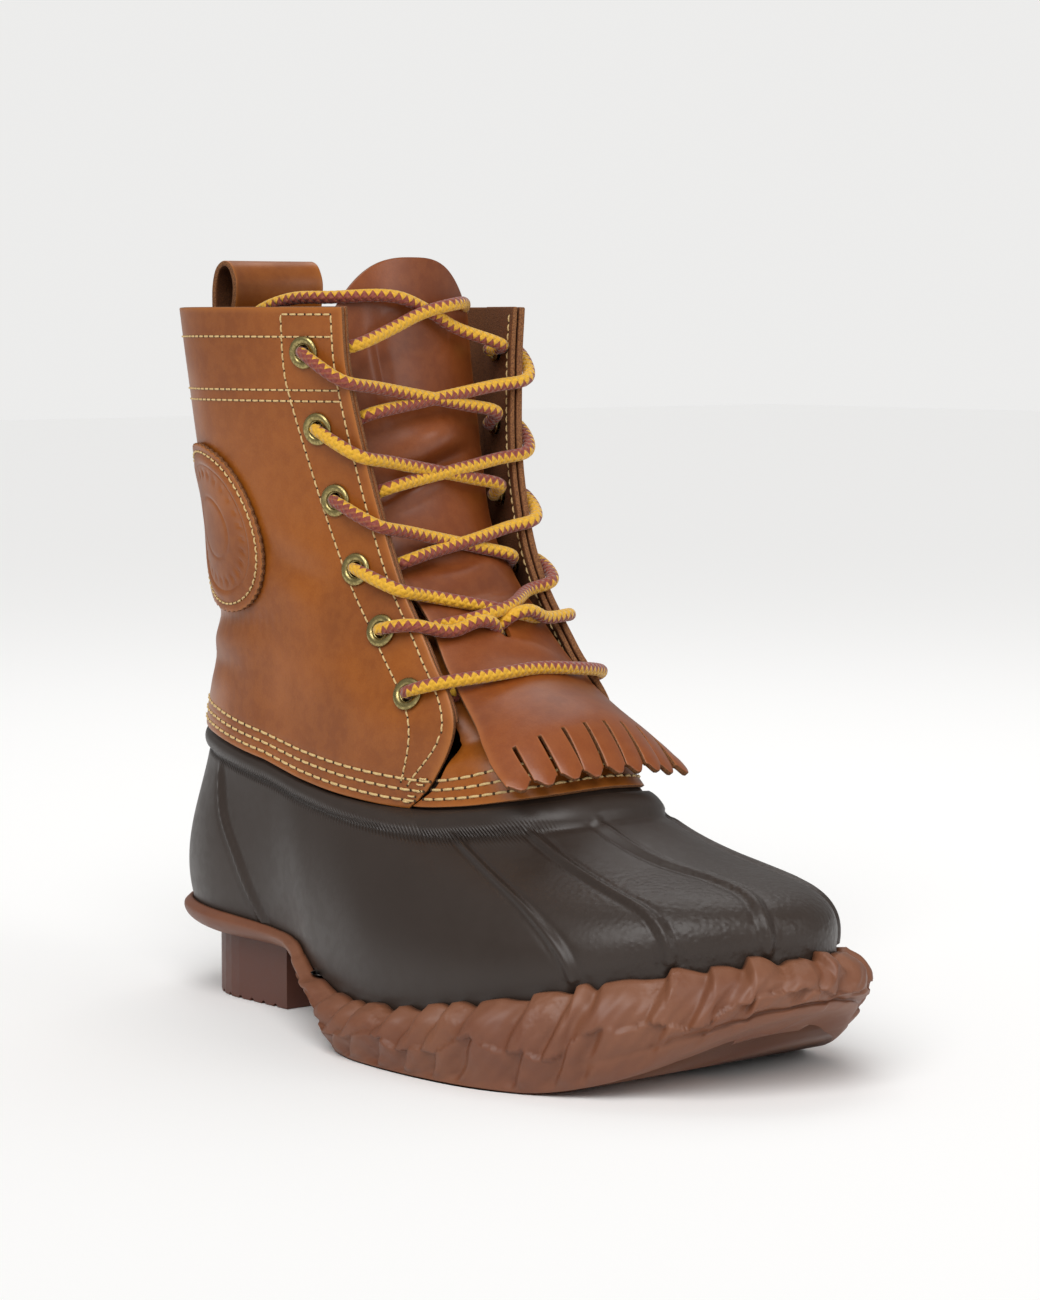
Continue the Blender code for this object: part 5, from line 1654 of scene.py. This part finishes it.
@dataclass(frozen=True)
class Stitching:
    """Rows of cream thread sewn into the leather, each a run of short arched stitches."""

    thin: float = 0.00032
    thick: float = 0.00044
    short: float = 0.0029
    pitch: float = 0.0030
    long: float = 0.0046
    proud: float = 0.00005
    edge_inset: float = 0.0040
    top_level: float = 0.985
    throat_level: float = 0.155
    bands: tuple[float, ...] = (0.2225, 0.2055, 0.2020)
    # The facing's inner row: level and turn.
    inner_levels: tuple[float, ...] = (0.04, 0.10, 0.487, 0.85, 1.0)
    inner_turns: tuple[float, ...] = (0.936, 0.923, 0.853, 0.796, 0.80)
    ring_radius: float = 0.0252
    strip_inset: float = 0.0035
    strip_turn: float = 0.020

    @staticmethod
    def arch(tree: NodeTree) -> NodeSocket:
        """One stitch: an arched thread along X that dips at both ends."""
        given = next(n for n in tree.nodes if n.bl_idname == "NodeGroupInput")
        line = tree.nodes.new("GeometryNodeCurveQuadraticBezier")
        line.inputs["Resolution"].default_value = 4
        ends = []
        for sign, lift in ((-0.5, "Dip"), (0.0, "Arch"), (0.5, "Dip")):
            size = tree.nodes.new("ShaderNodeMath")
            size.operation = "MULTIPLY"
            size.inputs[1].default_value = sign
            tree.links.new(given.outputs["Length"], size.inputs[0])
            spot = tree.nodes.new("ShaderNodeCombineXYZ")
            tree.links.new(size.outputs[0], spot.inputs[0])
            tree.links.new(given.outputs[lift], spot.inputs[2])
            ends.append(spot.outputs[0])
        for label, end in zip(("Start", "Middle", "End"), ends):
            tree.links.new(end, line.inputs[label])
        ring = tree.nodes.new("GeometryNodeCurvePrimitiveCircle")
        ring.inputs["Resolution"].default_value = 6
        tree.links.new(given.outputs["Radius"], ring.inputs["Radius"])
        body = tree.nodes.new("GeometryNodeCurveToMesh")
        body.inputs["Fill Caps"].default_value = True
        tree.links.new(line.outputs[0], body.inputs["Curve"])
        tree.links.new(ring.outputs[0], body.inputs["Profile Curve"])
        return body.outputs[0]

    @staticmethod
    def dot(tree: NodeTree) -> NodeSocket:
        """One thread hole: a low disc that carries painted shade where the thread goes in."""
        given = next(n for n in tree.nodes if n.bl_idname == "NodeGroupInput")
        disc = tree.nodes.new("GeometryNodeMeshCone")
        disc.inputs["Vertices"].default_value = 8
        disc.inputs["Radius Top"].default_value = 0.0002
        disc.inputs["Depth"].default_value = 0.00006
        tree.links.new(given.outputs["Radius"], disc.inputs["Radius Bottom"])
        return disc.outputs[0]

    @staticmethod
    def sew(line: Array, normals: Array, pitch: float) -> Row:
        """Places stitches one pitch apart along a line.

        Args:
            line: Points of the line.
            normals: Outward direction at each.
            pitch: Distance from stitch to stitch.

        Returns:
            Middles, forward and outward directions.
        """
        walked = walk(line)
        count = max(int(walked[-1] / pitch), 1)
        at = (np.arange(count) + 0.5) * walked[-1] / count
        ahead, behind = read_along(at + 0.0008, walked, line), read_along(at - 0.0008, walked, line)
        return read_along(at, walked, line), unit(ahead - behind), unit(read_along(at, walked, normals))

    def sew_leg(self, levels: Array, turns: Array, lift: float, pitch: float) -> Row:
        """Places stitches along a line on the leg's outer face."""
        return self.sew(LAST.leg(levels, turns, lift), LAST.leg_normal(levels, turns), pitch)

    def side_rows(self, side: Side) -> tuple[list[Row], list[Row]]:
        """Fine and coarse rows on one side of the shaft."""
        last = LAST
        face = last.gap + last.leather + self.proud
        fine, coarse = [], []
        span = np.linspace(0.0, 1.0, 160)
        for height in self.bands:
            turns = side.value * last.edge_turn(last.level_of(1.0, height), 0.0042) * (1 - span)
            fine.append(self.sew_leg(last.level_of(turns, height), turns, face, self.short))
        levels = self.top_level - span * 0.93
        edges = side.value * last.edge_turns(levels, self.edge_inset)
        cut = levels > self.throat_level
        fine.append(self.sew_leg(levels[cut], edges[cut], face, self.pitch))
        inner = side.value * np.interp(levels, self.inner_levels, self.inner_turns)
        fine.append(self.sew_leg(levels, inner, face, self.pitch))
        behind = last.leg(levels[cut], edges[cut], -last.gap - Facings().wall - self.proud)
        fine.append(self.sew(behind, -last.leg_normal(levels[cut], edges[cut]), self.pitch))
        top = np.linspace(0.80, last.edge_turn(self.top_level, self.edge_inset), 30) * side.value
        fine.append(self.sew_leg(self.top_level, top, face, self.short))
        chamfer = np.linspace(self.throat_level, 0.05, 40)
        turns = last.edge_turns(chamfer, 0.0045) - 0.02 * ease(self.throat_level, 0.05, chamfer)
        fine.append(self.sew_leg(chamfer, side.value * turns, face, self.pitch))
        turns = side.value * np.linspace(Overlays().backstay_turn + 0.006, 0.995, 160)
        for row in FOOT_ROWS:
            coarse.append(self.sew_leg(last.level_at(turns, row), turns, face - 0.00015, self.long))
        return fine, coarse

    def tack_rows(self, side: Side) -> list[Row]:
        """Short rows that hold the foot of the throat's edge."""
        turns = side.value * np.linspace(0.962, 0.992, 6)
        lift = LAST.gap + LAST.leather + 0.0002
        rises = np.linspace(0.0030, 0.0105, 5)
        return [self.sew_leg(LAST.level_at(turns, rise), turns, lift, self.pitch) for rise in rises]

    def front_rows(self) -> list[Row]:
        """Coarse rows round the foot of the front leather."""
        last, gusset, found = LAST, Gusset(), []
        half = np.linspace(1.04, 2.0, 60)
        turns = np.concatenate([half, -half[::-1][1:]])
        for row in FOOT_ROWS:
            levels = last.level_at(turns, row)
            line = gusset.point(levels, turns, last.gap + gusset.wall + self.proud)
            found.append(self.sew(line, last.leg_normal(levels, turns), self.long))
        return found

    def overlay_rows(self) -> list[Row]:
        """Fine rows on the backstay and round the patch."""
        last, overlays, found = LAST, Overlays(), []
        lift = 2 * last.gap + last.leather + overlays.leather + self.proud
        top = last.topline + overlays.backstay_height - self.strip_inset
        edge = overlays.backstay_turn - self.strip_turn
        for side in Side:
            turn = side.value * edge
            levels = np.linspace(last.level_at(turn, 0.003), last.level_of(turn, top), 60)
            found.append(self.sew_leg(levels, turn, lift, self.pitch))
        turns = np.linspace(-1.0, 1.0, 40) * edge
        found.append(self.sew_leg(last.level_of(turns, top), turns, lift, self.pitch))
        angles = np.linspace(0, 2 * math.pi, 200)
        lift = 3 * last.gap + last.leather + overlays.leather - 0.0001
        ring = overlays.patch_point(self.ring_radius, angles, lift)
        level = last.level_of(overlays.patch_turn, overlays.patch_height)
        normals = np.repeat([last.leg_normal(level, overlays.patch_turn)], len(ring), 0)
        found.append(self.sew(ring, normals, 0.0028))
        return found

    def build(self, finishes: Finishes) -> list[Object]:
        """Thread, and low dark discs of painted shade at its holes."""
        fine, coarse = [], []
        for side in Side:
            rows = self.side_rows(side)
            fine += rows[0]
            coarse += rows[1]
        for side in Side:
            fine += self.tack_rows(side)
        coarse += self.front_rows()
        fine += self.overlay_rows()
        defaults = {"Length": 0.0021, "Radius": 0.0004, "Dip": -0.0003, "Arch": 0.0006}
        stitch = repeat_tree("stitch", self.arch, defaults, finishes.thread)
        # Dark discs at each stitch's end: painted shade of the holes that the thread goes into.
        hole = repeat_tree("thread_hole", self.dot, {"Radius": 0.0005}, finishes.hole_shade)
        found = []
        kinds = (("fine", fine, self.short, self.thin), ("coarse", coarse, self.long, self.thick))
        for name, rows, pitch, radius in kinds:
            places, forwards, outwards = (np.concatenate([row[k] for row in rows]) for k in range(3))
            sizes = {"Length": pitch * 0.84, "Radius": radius, "Dip": -radius, "Arch": radius * 1.9}
            threads = repeat_on(f"stitches_{name}", places, forwards, outwards, stitch, sizes)
            found.append(dress(threads, Slot.CORD))
            ends = places + forwards * pitch * 0.5
            sizes = {"Radius": radius * 1.25}
            holes = repeat_on(f"thread_holes_{name}", ends, forwards, outwards, hole, sizes)
            found.append(dress(holes, Slot.DARK))
        return found


@dataclass(frozen=True)
class Eyelets:
    """Rolled brass eyelets, turned from one half section."""

    flange: float = 0.0053
    roll_radius: float = 0.0013
    roll_height: float = 0.0009
    bore: float = 0.0024
    barrel: float = 0.0030
    steps: int = 40

    def build(self, finishes: Finishes) -> Object:
        """All the eyelets as one piece."""
        last = LAST
        deep = last.leather + Facings().wall + 5 * last.gap
        lift = 2 * last.gap
        bore, barrel, steps, rings = self.bore, self.barrel, self.steps, []
        profile = [(bore, -deep - 0.0004), (bore, 0.0), (bore + 0.0003, 0.0006 + lift)]
        middle = self.flange - self.roll_radius
        for angle in np.linspace(math.pi, 0.0, 9):
            out, up = self.roll_radius * math.cos(angle), self.roll_height * math.sin(angle)
            profile.append((middle + out, lift + 0.0001 + up))
        profile += [(barrel, lift), (barrel, -deep), (barrel + 0.0009, -deep)]
        profile += [(barrel + 0.0008, -deep - 0.0006), (bore + 0.0002, -deep - 0.0008)]
        mesh = bpy.data.meshes.new("eyelet_section")
        count = len(profile)
        found = bmesh.new()
        for s in range(steps):
            angle = 2 * math.pi * s / steps
            rings.append([found.verts.new((r * math.cos(angle), r * math.sin(angle), z)) for r, z in profile])
        for s in range(steps):
            a, b = rings[s], rings[(s + 1) % steps]
            for k in range(count):
                found.faces.new((a[k], b[k], b[(k + 1) % count], a[(k + 1) % count]))
        bmesh.ops.recalc_face_normals(found, faces=found.faces)
        found.to_mesh(mesh)
        found.free()
        pattern = bpy.data.objects.new("eyelet_pattern", mesh)
        bpy.context.scene.collection.objects.link(pattern)

        def shape(tree: NodeTree) -> NodeSocket:
            held = tree.nodes.new("GeometryNodeObjectInfo")
            held.inputs["Object"].default_value = pattern
            return held.outputs["Geometry"]

        tree = repeat_tree("eyelet_rows", shape, {}, finishes.brass)
        seats = [SEATS.seat(row, side) for side in Side for row in range(len(SEATS.shares))]
        places, outwards = np.array([s[0] for s in seats]), np.array([s[1] for s in seats])
        forwards = np.repeat([[0.0, 0.0, 1.0]], len(seats), 0)
        obj = repeat_on("eyelet_rings", places, forwards, outwards, tree, {})
        bpy.data.objects.remove(pattern, do_unlink=True)
        names = [f"eyelet_{side.name.lower()}_{row + 1}" for side in Side for row in range(len(SEATS.shares))]
        return dress(obj, Slot.BRASS, *names)


@dataclass(frozen=True)
class Lace:
    """One braided lace through all the eyelets, with both ends tucked in at the top."""

    radius: float = 0.0021
    sides: int = 14
    step: float = 0.0011
    pinch: float = 0.26
    clear: float = 0.0010
    foot_clear: float = 0.0052
    # Lead of the lace into the slit and under the flap: distance from the slit, lift and rise.
    into_slit: tuple[tuple[float, float, float], ...] = (
        (0.0200, -0.0006, 0.0012),
        (0.0110, 0.0034, 0.0014),
        (0.0045, 0.0030, 0.0008),
        (0.0004, -0.0010, 0.0),
    )
    under_flap: tuple[tuple[float, float], ...] = ((0.0045, -0.0056), (0.0130, -0.0070))
    # The ends: places over the tongue (side and height), then into the boot.
    near_over: tuple[tuple[float, float], ...] = ((-0.016, 0.2245), (-0.002, 0.2300), (0.012, 0.2330))
    near_in: tuple[tuple[float, float, float], ...] = (
        (0.026, -0.052, 0.2325),
        (0.031, -0.040, 0.2260),
        (0.033, -0.026, 0.2150),
    )
    far_over: tuple[tuple[float, float], ...] = ((0.014, 0.2250), (0.002, 0.2310), (-0.012, 0.2355))
    far_in: tuple[tuple[float, float, float], ...] = (
        (-0.028, -0.050, 0.2350),
        (-0.034, -0.036, 0.2345),
        (-0.037, -0.020, 0.2290),
        (-0.036, -0.008, 0.2180),
    )

    def front(self, height: float, extra: float = 0.0) -> float:
        """Distance along the foot at which the lace clears the tongue."""
        tongue = TONGUE.read("along", "height", height / LAST.collar_height) * LAST.collar_length
        return tongue + Tongue().wall / 2 + self.radius + self.clear + extra

    def through(self, row: int, side: Side) -> list[Array]:
        """Points from inside the boot up through an eyelet to its outer face."""
        seat, out = SEATS.seat(row, side)
        toward = np.array([-side.value * 0.6, -0.8, 0.0])
        toward = unit(toward - out * (toward @ out))
        bore = [seat + out * up for up in (-0.0052, -0.0022, 0.0008)]
        return [seat - out * 0.0082 + toward * 0.0030, *bore, seat + out * 0.0034 + toward * 0.0014]

    def over_edge(self, row: int, side: Side, drop: float) -> Array:
        """The place where the lace goes over the throat's edge."""
        last = LAST
        seat, _ = SEATS.seat(row, side)
        level = last.level_of(1.0, seat[2] - 0.35 * drop)
        turn = side.value * last.edge_turn(level, 0.0012)
        return last.leg(level, turn, last.gap + last.leather + self.radius + 0.0002)

    def cross(self, row: int, side: Side, over: bool) -> list[Array]:
        """From an eyelet's outer face across the throat to behind the other facing, one row down."""
        last = LAST
        h0 = SEATS.shares[row] * last.collar_height
        h1 = SEATS.shares[row + 1] * last.collar_height
        drop = h0 - h1
        lowest = row == len(SEATS.shares) - 2
        start = self.over_edge(row, side, -0.15 * drop if lowest else drop)
        edge = last.leg(last.level_of(1.0, h1 + 0.18 * drop), -side.value, -self.foot_clear)
        leave = edge + np.array([side.value * 0.0015, 0.0, 0.0])
        if lowest:
            return [start, *self.through_slit(side), leave]
        points = [start]
        for share in (0.22, 0.5, 0.78):
            place = start + (edge - start) * share
            need = self.front(place[2], 0.0022 if over and share == 0.5 else 0.0)
            side_drop = 0.010 * (abs(place[0]) / 0.028) ** 2
            place[1] = min(place[1], last.heel_centre - need + side_drop)
            points.append(place)
        return [*points, leave]

    def through_slit(self, side: Side) -> list[Array]:
        """Points over the flap, down through its slit and on below it."""
        tongue = Tongue()
        at = (tongue.slit_run, tongue.slit_across)
        mouth, out = LAST.tongue(*at), LAST.tongue_normal(*at)
        way = np.array([-side.value * 1.0, 0.0, 0.0])
        points = []
        for back, lift, up in self.into_slit:
            points.append(mouth - way * back + out * lift + np.array([0.0, 0.0, up + 0.0012 * side.value]))
        for ahead, sink in self.under_flap:
            points.append(mouth + way * ahead + out * sink - np.array([0.0, 0.0, 0.0015 * side.value]))
        return points

    def half(self, side: Side) -> list[Array]:
        """Points from a top eyelet down to the other side's lowest one."""
        points: list[Array] = []
        lowest = len(SEATS.shares) - 1
        for row in range(lowest):
            points += self.through(row, side)
            points += self.cross(row, side, over=side is Side.MEDIAL)
            side = Side(-side.value)
        return points + self.through(lowest, side)

    def path(self) -> Array:
        """Control points of the whole lace, from one top eyelet round the bar to the other."""
        last = LAST
        lowest = len(SEATS.shares) - 1
        bar_height = SEATS.shares[-1] * last.collar_height
        bar = [self.over_edge(lowest, Side.LATERAL, -0.006)]
        for x in (-0.017, 0.0, 0.017):
            height = bar_height + 0.0085 - 0.0012 * (x / 0.017) ** 2
            along = last.heel_centre - self.front(height, 0.0004) + 0.0026 * (x / 0.017) ** 2
            bar.append(np.array([x, along, height]))
        bar.append(self.over_edge(lowest, Side.MEDIAL, -0.006))
        return np.array(self.half(Side.MEDIAL) + bar + self.half(Side.LATERAL)[::-1])

    def end(self, side: Side, step: Sequence[float], over: Array, inside: Array, extra: float) -> Array:
        """Path of a free end.

        Args:
            side: Side of its top eyelet.
            step: From the eyelet's seat to the first place past the throat's edge.
            over: Side and height of each place over the tongue.
            inside: Places inside the boot.
            extra: Height over the tongue that lets it pass the other end.

        Returns:
            Control points from behind the eyelet into the boot.
        """
        seat, out = SEATS.seat(0, side)
        points = [seat - out * 0.0075, seat + np.array(step)]
        points += [np.array([x, LAST.heel_centre - self.front(z, extra), z]) for x, z in over]
        return np.array(points + [np.array(place) for place in inside])

    def ends(self) -> list[tuple[str, Array]]:
        """Names and paths of the two free ends."""
        near = self.end(Side.LATERAL, (0.012, -0.010, 0.002), self.near_over, self.near_in, 0.0026)
        far = self.end(Side.MEDIAL, (-0.010, -0.009, 0.002), self.far_over, self.far_in, 0.0)
        return [("lace_end_lateral", near), ("lace_end_medial", far)]

    def smooth(self, points: Array) -> Array:
        """Evenly spread points of a smooth curve through the control points."""
        gaps = np.linalg.norm(np.diff(points, axis=0), axis=1) ** 0.5
        knots = np.concatenate([[0.0], np.cumsum(gaps)])
        slopes = np.zeros_like(points)
        slopes[1:-1] = (points[2:] - points[:-2]) / (knots[2:] - knots[:-2])[:, None]
        slopes[0], slopes[-1] = (points[1] - points[0]) / gaps[0], (points[-1] - points[-2]) / gaps[-1]
        fine = []
        t = np.linspace(0, 1, 24, endpoint=False)[:, None]
        for k, span in enumerate(np.diff(knots)):
            fine.append(hermite(points[k], slopes[k] * span, points[k + 1], slopes[k + 1] * span, t))
        dense = np.concatenate(fine + [points[-1:]])
        for _ in range(24):
            dense[1:-1] = 0.25 * dense[:-2] + 0.5 * dense[1:-1] + 0.25 * dense[2:]
        walked = walk(dense)
        return read_along(np.linspace(0, walked[-1], int(walked[-1] / self.step)), walked, dense)

    def tube(
        self, name: str, line: Array, twist: float, start: float, material: Material
    ) -> Object:
        """A round cord along a line, with a UV map round it and along it in metres.

        Args:
            name: Name of the object.
            line: Evenly spread points.
            twist: Turns of the braid's colours for each metre.
            start: Turn of the colours at the start.
            material: The cord's finish.

        Returns:
            The object.
        """
        tangents = unit(np.gradient(line, axis=0))
        normal = unit(np.cross(tangents[0], [0.0, 0.0, 1.0]))
        frames = []
        for tangent in tangents:
            normal = unit(normal - tangent * (normal @ tangent))
            frames.append(normal)
        normals = np.array(frames)
        sides = np.cross(tangents, normals)
        outward = np.array([-0.35, -0.9, 0.25])
        wanted = np.unwrap(np.arctan2((sides * outward).sum(-1), (normals * outward).sum(-1)))
        weight = (1 - (tangents * unit(outward)).sum(-1) ** 2) ** 2 + 0.02
        kernel = np.exp(-((np.arange(-9, 10) / 4.0) ** 2))
        turned = np.convolve(wanted * weight, kernel, "same") / np.convolve(weight, kernel, "same")
        normals, sides = (
            normals * np.cos(turned)[:, None] + sides * np.sin(turned)[:, None],
            sides * np.cos(turned)[:, None] - normals * np.sin(turned)[:, None],
        )
        angles = 2 * math.pi * np.arange(self.sides) / self.sides
        walked = np.arange(len(line)) * self.step
        seats = np.array([SEATS.seat(row, side)[0] for side in Side for row in range(len(SEATS.shares))])
        nearest = np.linalg.norm(line[:, None, :] - seats[None, :, :], axis=-1).min(axis=1)
        pinch = 1 - self.pinch * hump(nearest, 0.0045)
        wave = (self.radius * pinch * (1 + 0.02 * np.sin(walked / 0.0021 * math.tau)))[:, None, None]
        cosines, sines = np.cos(angles)[None, :, None], np.sin(angles)[None, :, None]
        ring = cosines * normals[:, None, :] + sines * sides[:, None, :]
        obj = grid_object(name, line[:, None, :] + ring * wave, closed=True)
        mesh = bmesh.new()
        mesh.from_mesh(obj.data)
        mesh.verts.ensure_lookup_table()
        count = len(line)
        mesh.faces.new([mesh.verts[k] for k in range(self.sides)])
        mesh.faces.new([mesh.verts[(count - 1) * self.sides + k] for k in range(self.sides)][::-1])
        bmesh.ops.recalc_face_normals(mesh, faces=mesh.faces)
        layer = mesh.loops.layers.uv.new("cord")
        for face in mesh.faces:
            columns = [loop.vert.index % self.sides for loop in face.loops]
            wraps = max(columns) - min(columns) > self.sides // 2
            for loop in face.loops:
                row, column = divmod(loop.vert.index, self.sides)
                share = column / self.sides + (1.0 if wraps and column < self.sides // 2 else 0.0)
                loop[layer].uv = (share + start + twist * math.sin(row * self.step * 60.0), row * self.step)
        mesh.to_mesh(obj.data)
        mesh.free()
        obj.data.shade_smooth()
        obj.data.materials.append(material)
        return obj

    def build(self, finishes: Finishes) -> list[Object]:
        """The lace and its two ends."""
        body = self.tube("lace", self.smooth(self.path()), 0.07, 0.02, finishes.braid)
        names = [f"lace_crossing_{k + 1}" for k in range(len(SEATS.shares) - 1)] + ["lace_bar"]
        found = [dress(body, Slot.CORD, *names)]
        for name, points in self.ends():
            line = self.smooth(points)
            piece = dress(self.tube(name, line, 0.07, 0.02, finishes.braid), Slot.CORD)
            found.append(piece)
        return found


@dataclass(frozen=True)
class Studio:
    """Pale floor, soft lights and the camera of the photograph."""

    azimuth: float = -40.0
    elevation: float = 5.2
    distance: float = 1.2
    focal: float = 3658.0
    aim: tuple[float, float, float] = (0.02543, -0.08134, 0.1199)
    fill: float = 0.40
    sun: float = 2.35
    sun_spread: float = math.radians(50)
    photo_width: int = 1040
    floor_half: float = 6.0
    floor_colour: Colour = (0.95, 0.947, 0.94, 1.0)
    sky_colour: Colour = (0.845, 0.842, 0.834, 1.0)

    def camera(self) -> None:
        """Creates the camera at the photograph's place."""
        a, e = math.radians(self.azimuth), math.radians(self.elevation)
        back = Vector((math.sin(a) * math.cos(e), -math.cos(a) * math.cos(e), math.sin(e)))
        held = bpy.data.cameras.new("photo_camera")
        held.sensor_fit = "HORIZONTAL"
        held.sensor_width = 36.0
        held.lens = self.focal / self.photo_width * held.sensor_width
        held.clip_start = 0.05
        obj = bpy.data.objects.new("photo_camera", held)
        obj.location = Vector(self.aim) + back * self.distance
        obj.rotation_euler = back.to_track_quat("Z", "Y").to_euler()
        bpy.context.scene.collection.objects.link(obj)
        bpy.context.scene.camera = obj

    def light(self, name: str, place: tuple[float, float, float], size: float, power: float) -> None:
        """A square soft light aimed at the boot."""
        held = bpy.data.lights.new(name, "AREA")
        held.shape = "SQUARE"
        held.size = size
        held.energy = power
        obj = bpy.data.objects.new(name, held)
        obj.location = place
        obj.rotation_euler = (Vector(place) - Vector((0, -0.08, 0.10))).to_track_quat("Z", "Y").to_euler()
        bpy.context.scene.collection.objects.link(obj)

    def build(self) -> None:
        """Floor, lights and world."""
        mesh = bpy.data.meshes.new("floor")
        signs = ((-1, -1), (1, -1), (1, 1), (-1, 1))
        corners = [(x * self.floor_half, y * self.floor_half, 0) for x, y in signs]
        mesh.from_pydata(corners, [], [(0, 1, 2, 3)])
        floor = bpy.data.objects.new("floor", mesh)
        floor.location.z = -0.0002
        bpy.context.scene.collection.objects.link(floor)
        material, _, shader = new_material("pale_floor")
        shader.inputs["Base Color"].default_value = self.floor_colour
        shader.inputs["Roughness"].default_value = 0.9
        shader.inputs["Specular IOR Level"].default_value = 0.1
        mesh.materials.append(material)
        world = bpy.data.worlds.new("studio")
        world.use_nodes = True
        n = Nodes(world.node_tree)
        back = world.node_tree.nodes["Background"]
        back.inputs[0].default_value = self.sky_colour
        seen = n.add("ShaderNodeLightPath").outputs["Is Camera Ray"]
        n.feed(back.inputs[1], n.spread(seen, 0.0, 1.0, self.fill, 1.0))
        bpy.context.scene.world = world
        sun = bpy.data.lights.new("sky_sun", "SUN")
        sun.energy = self.sun
        sun.angle = self.sun_spread
        held = bpy.data.objects.new("sky_sun", sun)
        held.rotation_euler = Vector((-0.75, -0.55, 1.0)).to_track_quat("Z", "Y").to_euler()
        bpy.context.scene.collection.objects.link(held)
        self.light("front", (0.5, -1.5, 0.7), 0.7, 4.0)
        self.light("top", (0.5, 0.4, 1.2), 0.8, 3.0)
        bpy.context.scene.view_settings.view_transform = "Standard"


def carry_over(frame: dict, finishes: Finishes) -> None:
    """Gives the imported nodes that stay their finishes."""
    for name, material in (("heel_block", finishes.heel), ("insole", finishes.insole)):
        obj = frame["nodes"][name]
        if not obj.material_slots:
            obj.data.materials.append(material)
        for slot in obj.material_slots:
            slot.material = material
        LOG.info("%s keeps its shape", name)


def main() -> None:
    """Builds the boot's looks in order."""
    logging.basicConfig(level=logging.INFO, format="%(name)s: %(message)s")
    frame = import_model()
    studio = Studio()
    studio.camera()
    finishes = Finishes()
    Lace().build(finishes)
    Outsole().build(finishes)
    RubberShell().build(finishes)
    Shaft().build(finishes)
    Gusset().build(finishes)
    Facings().build(finishes)
    Overlays().build_backstay(finishes)
    Overlays().build_patch(finishes)
    PullLoop().build(finishes)
    Tongue().build(finishes)
    Eyelets().build(finishes)
    Stitching().build(finishes)
    carry_over(frame, finishes)
    studio.build()


if __name__ == "__main__":
    main()
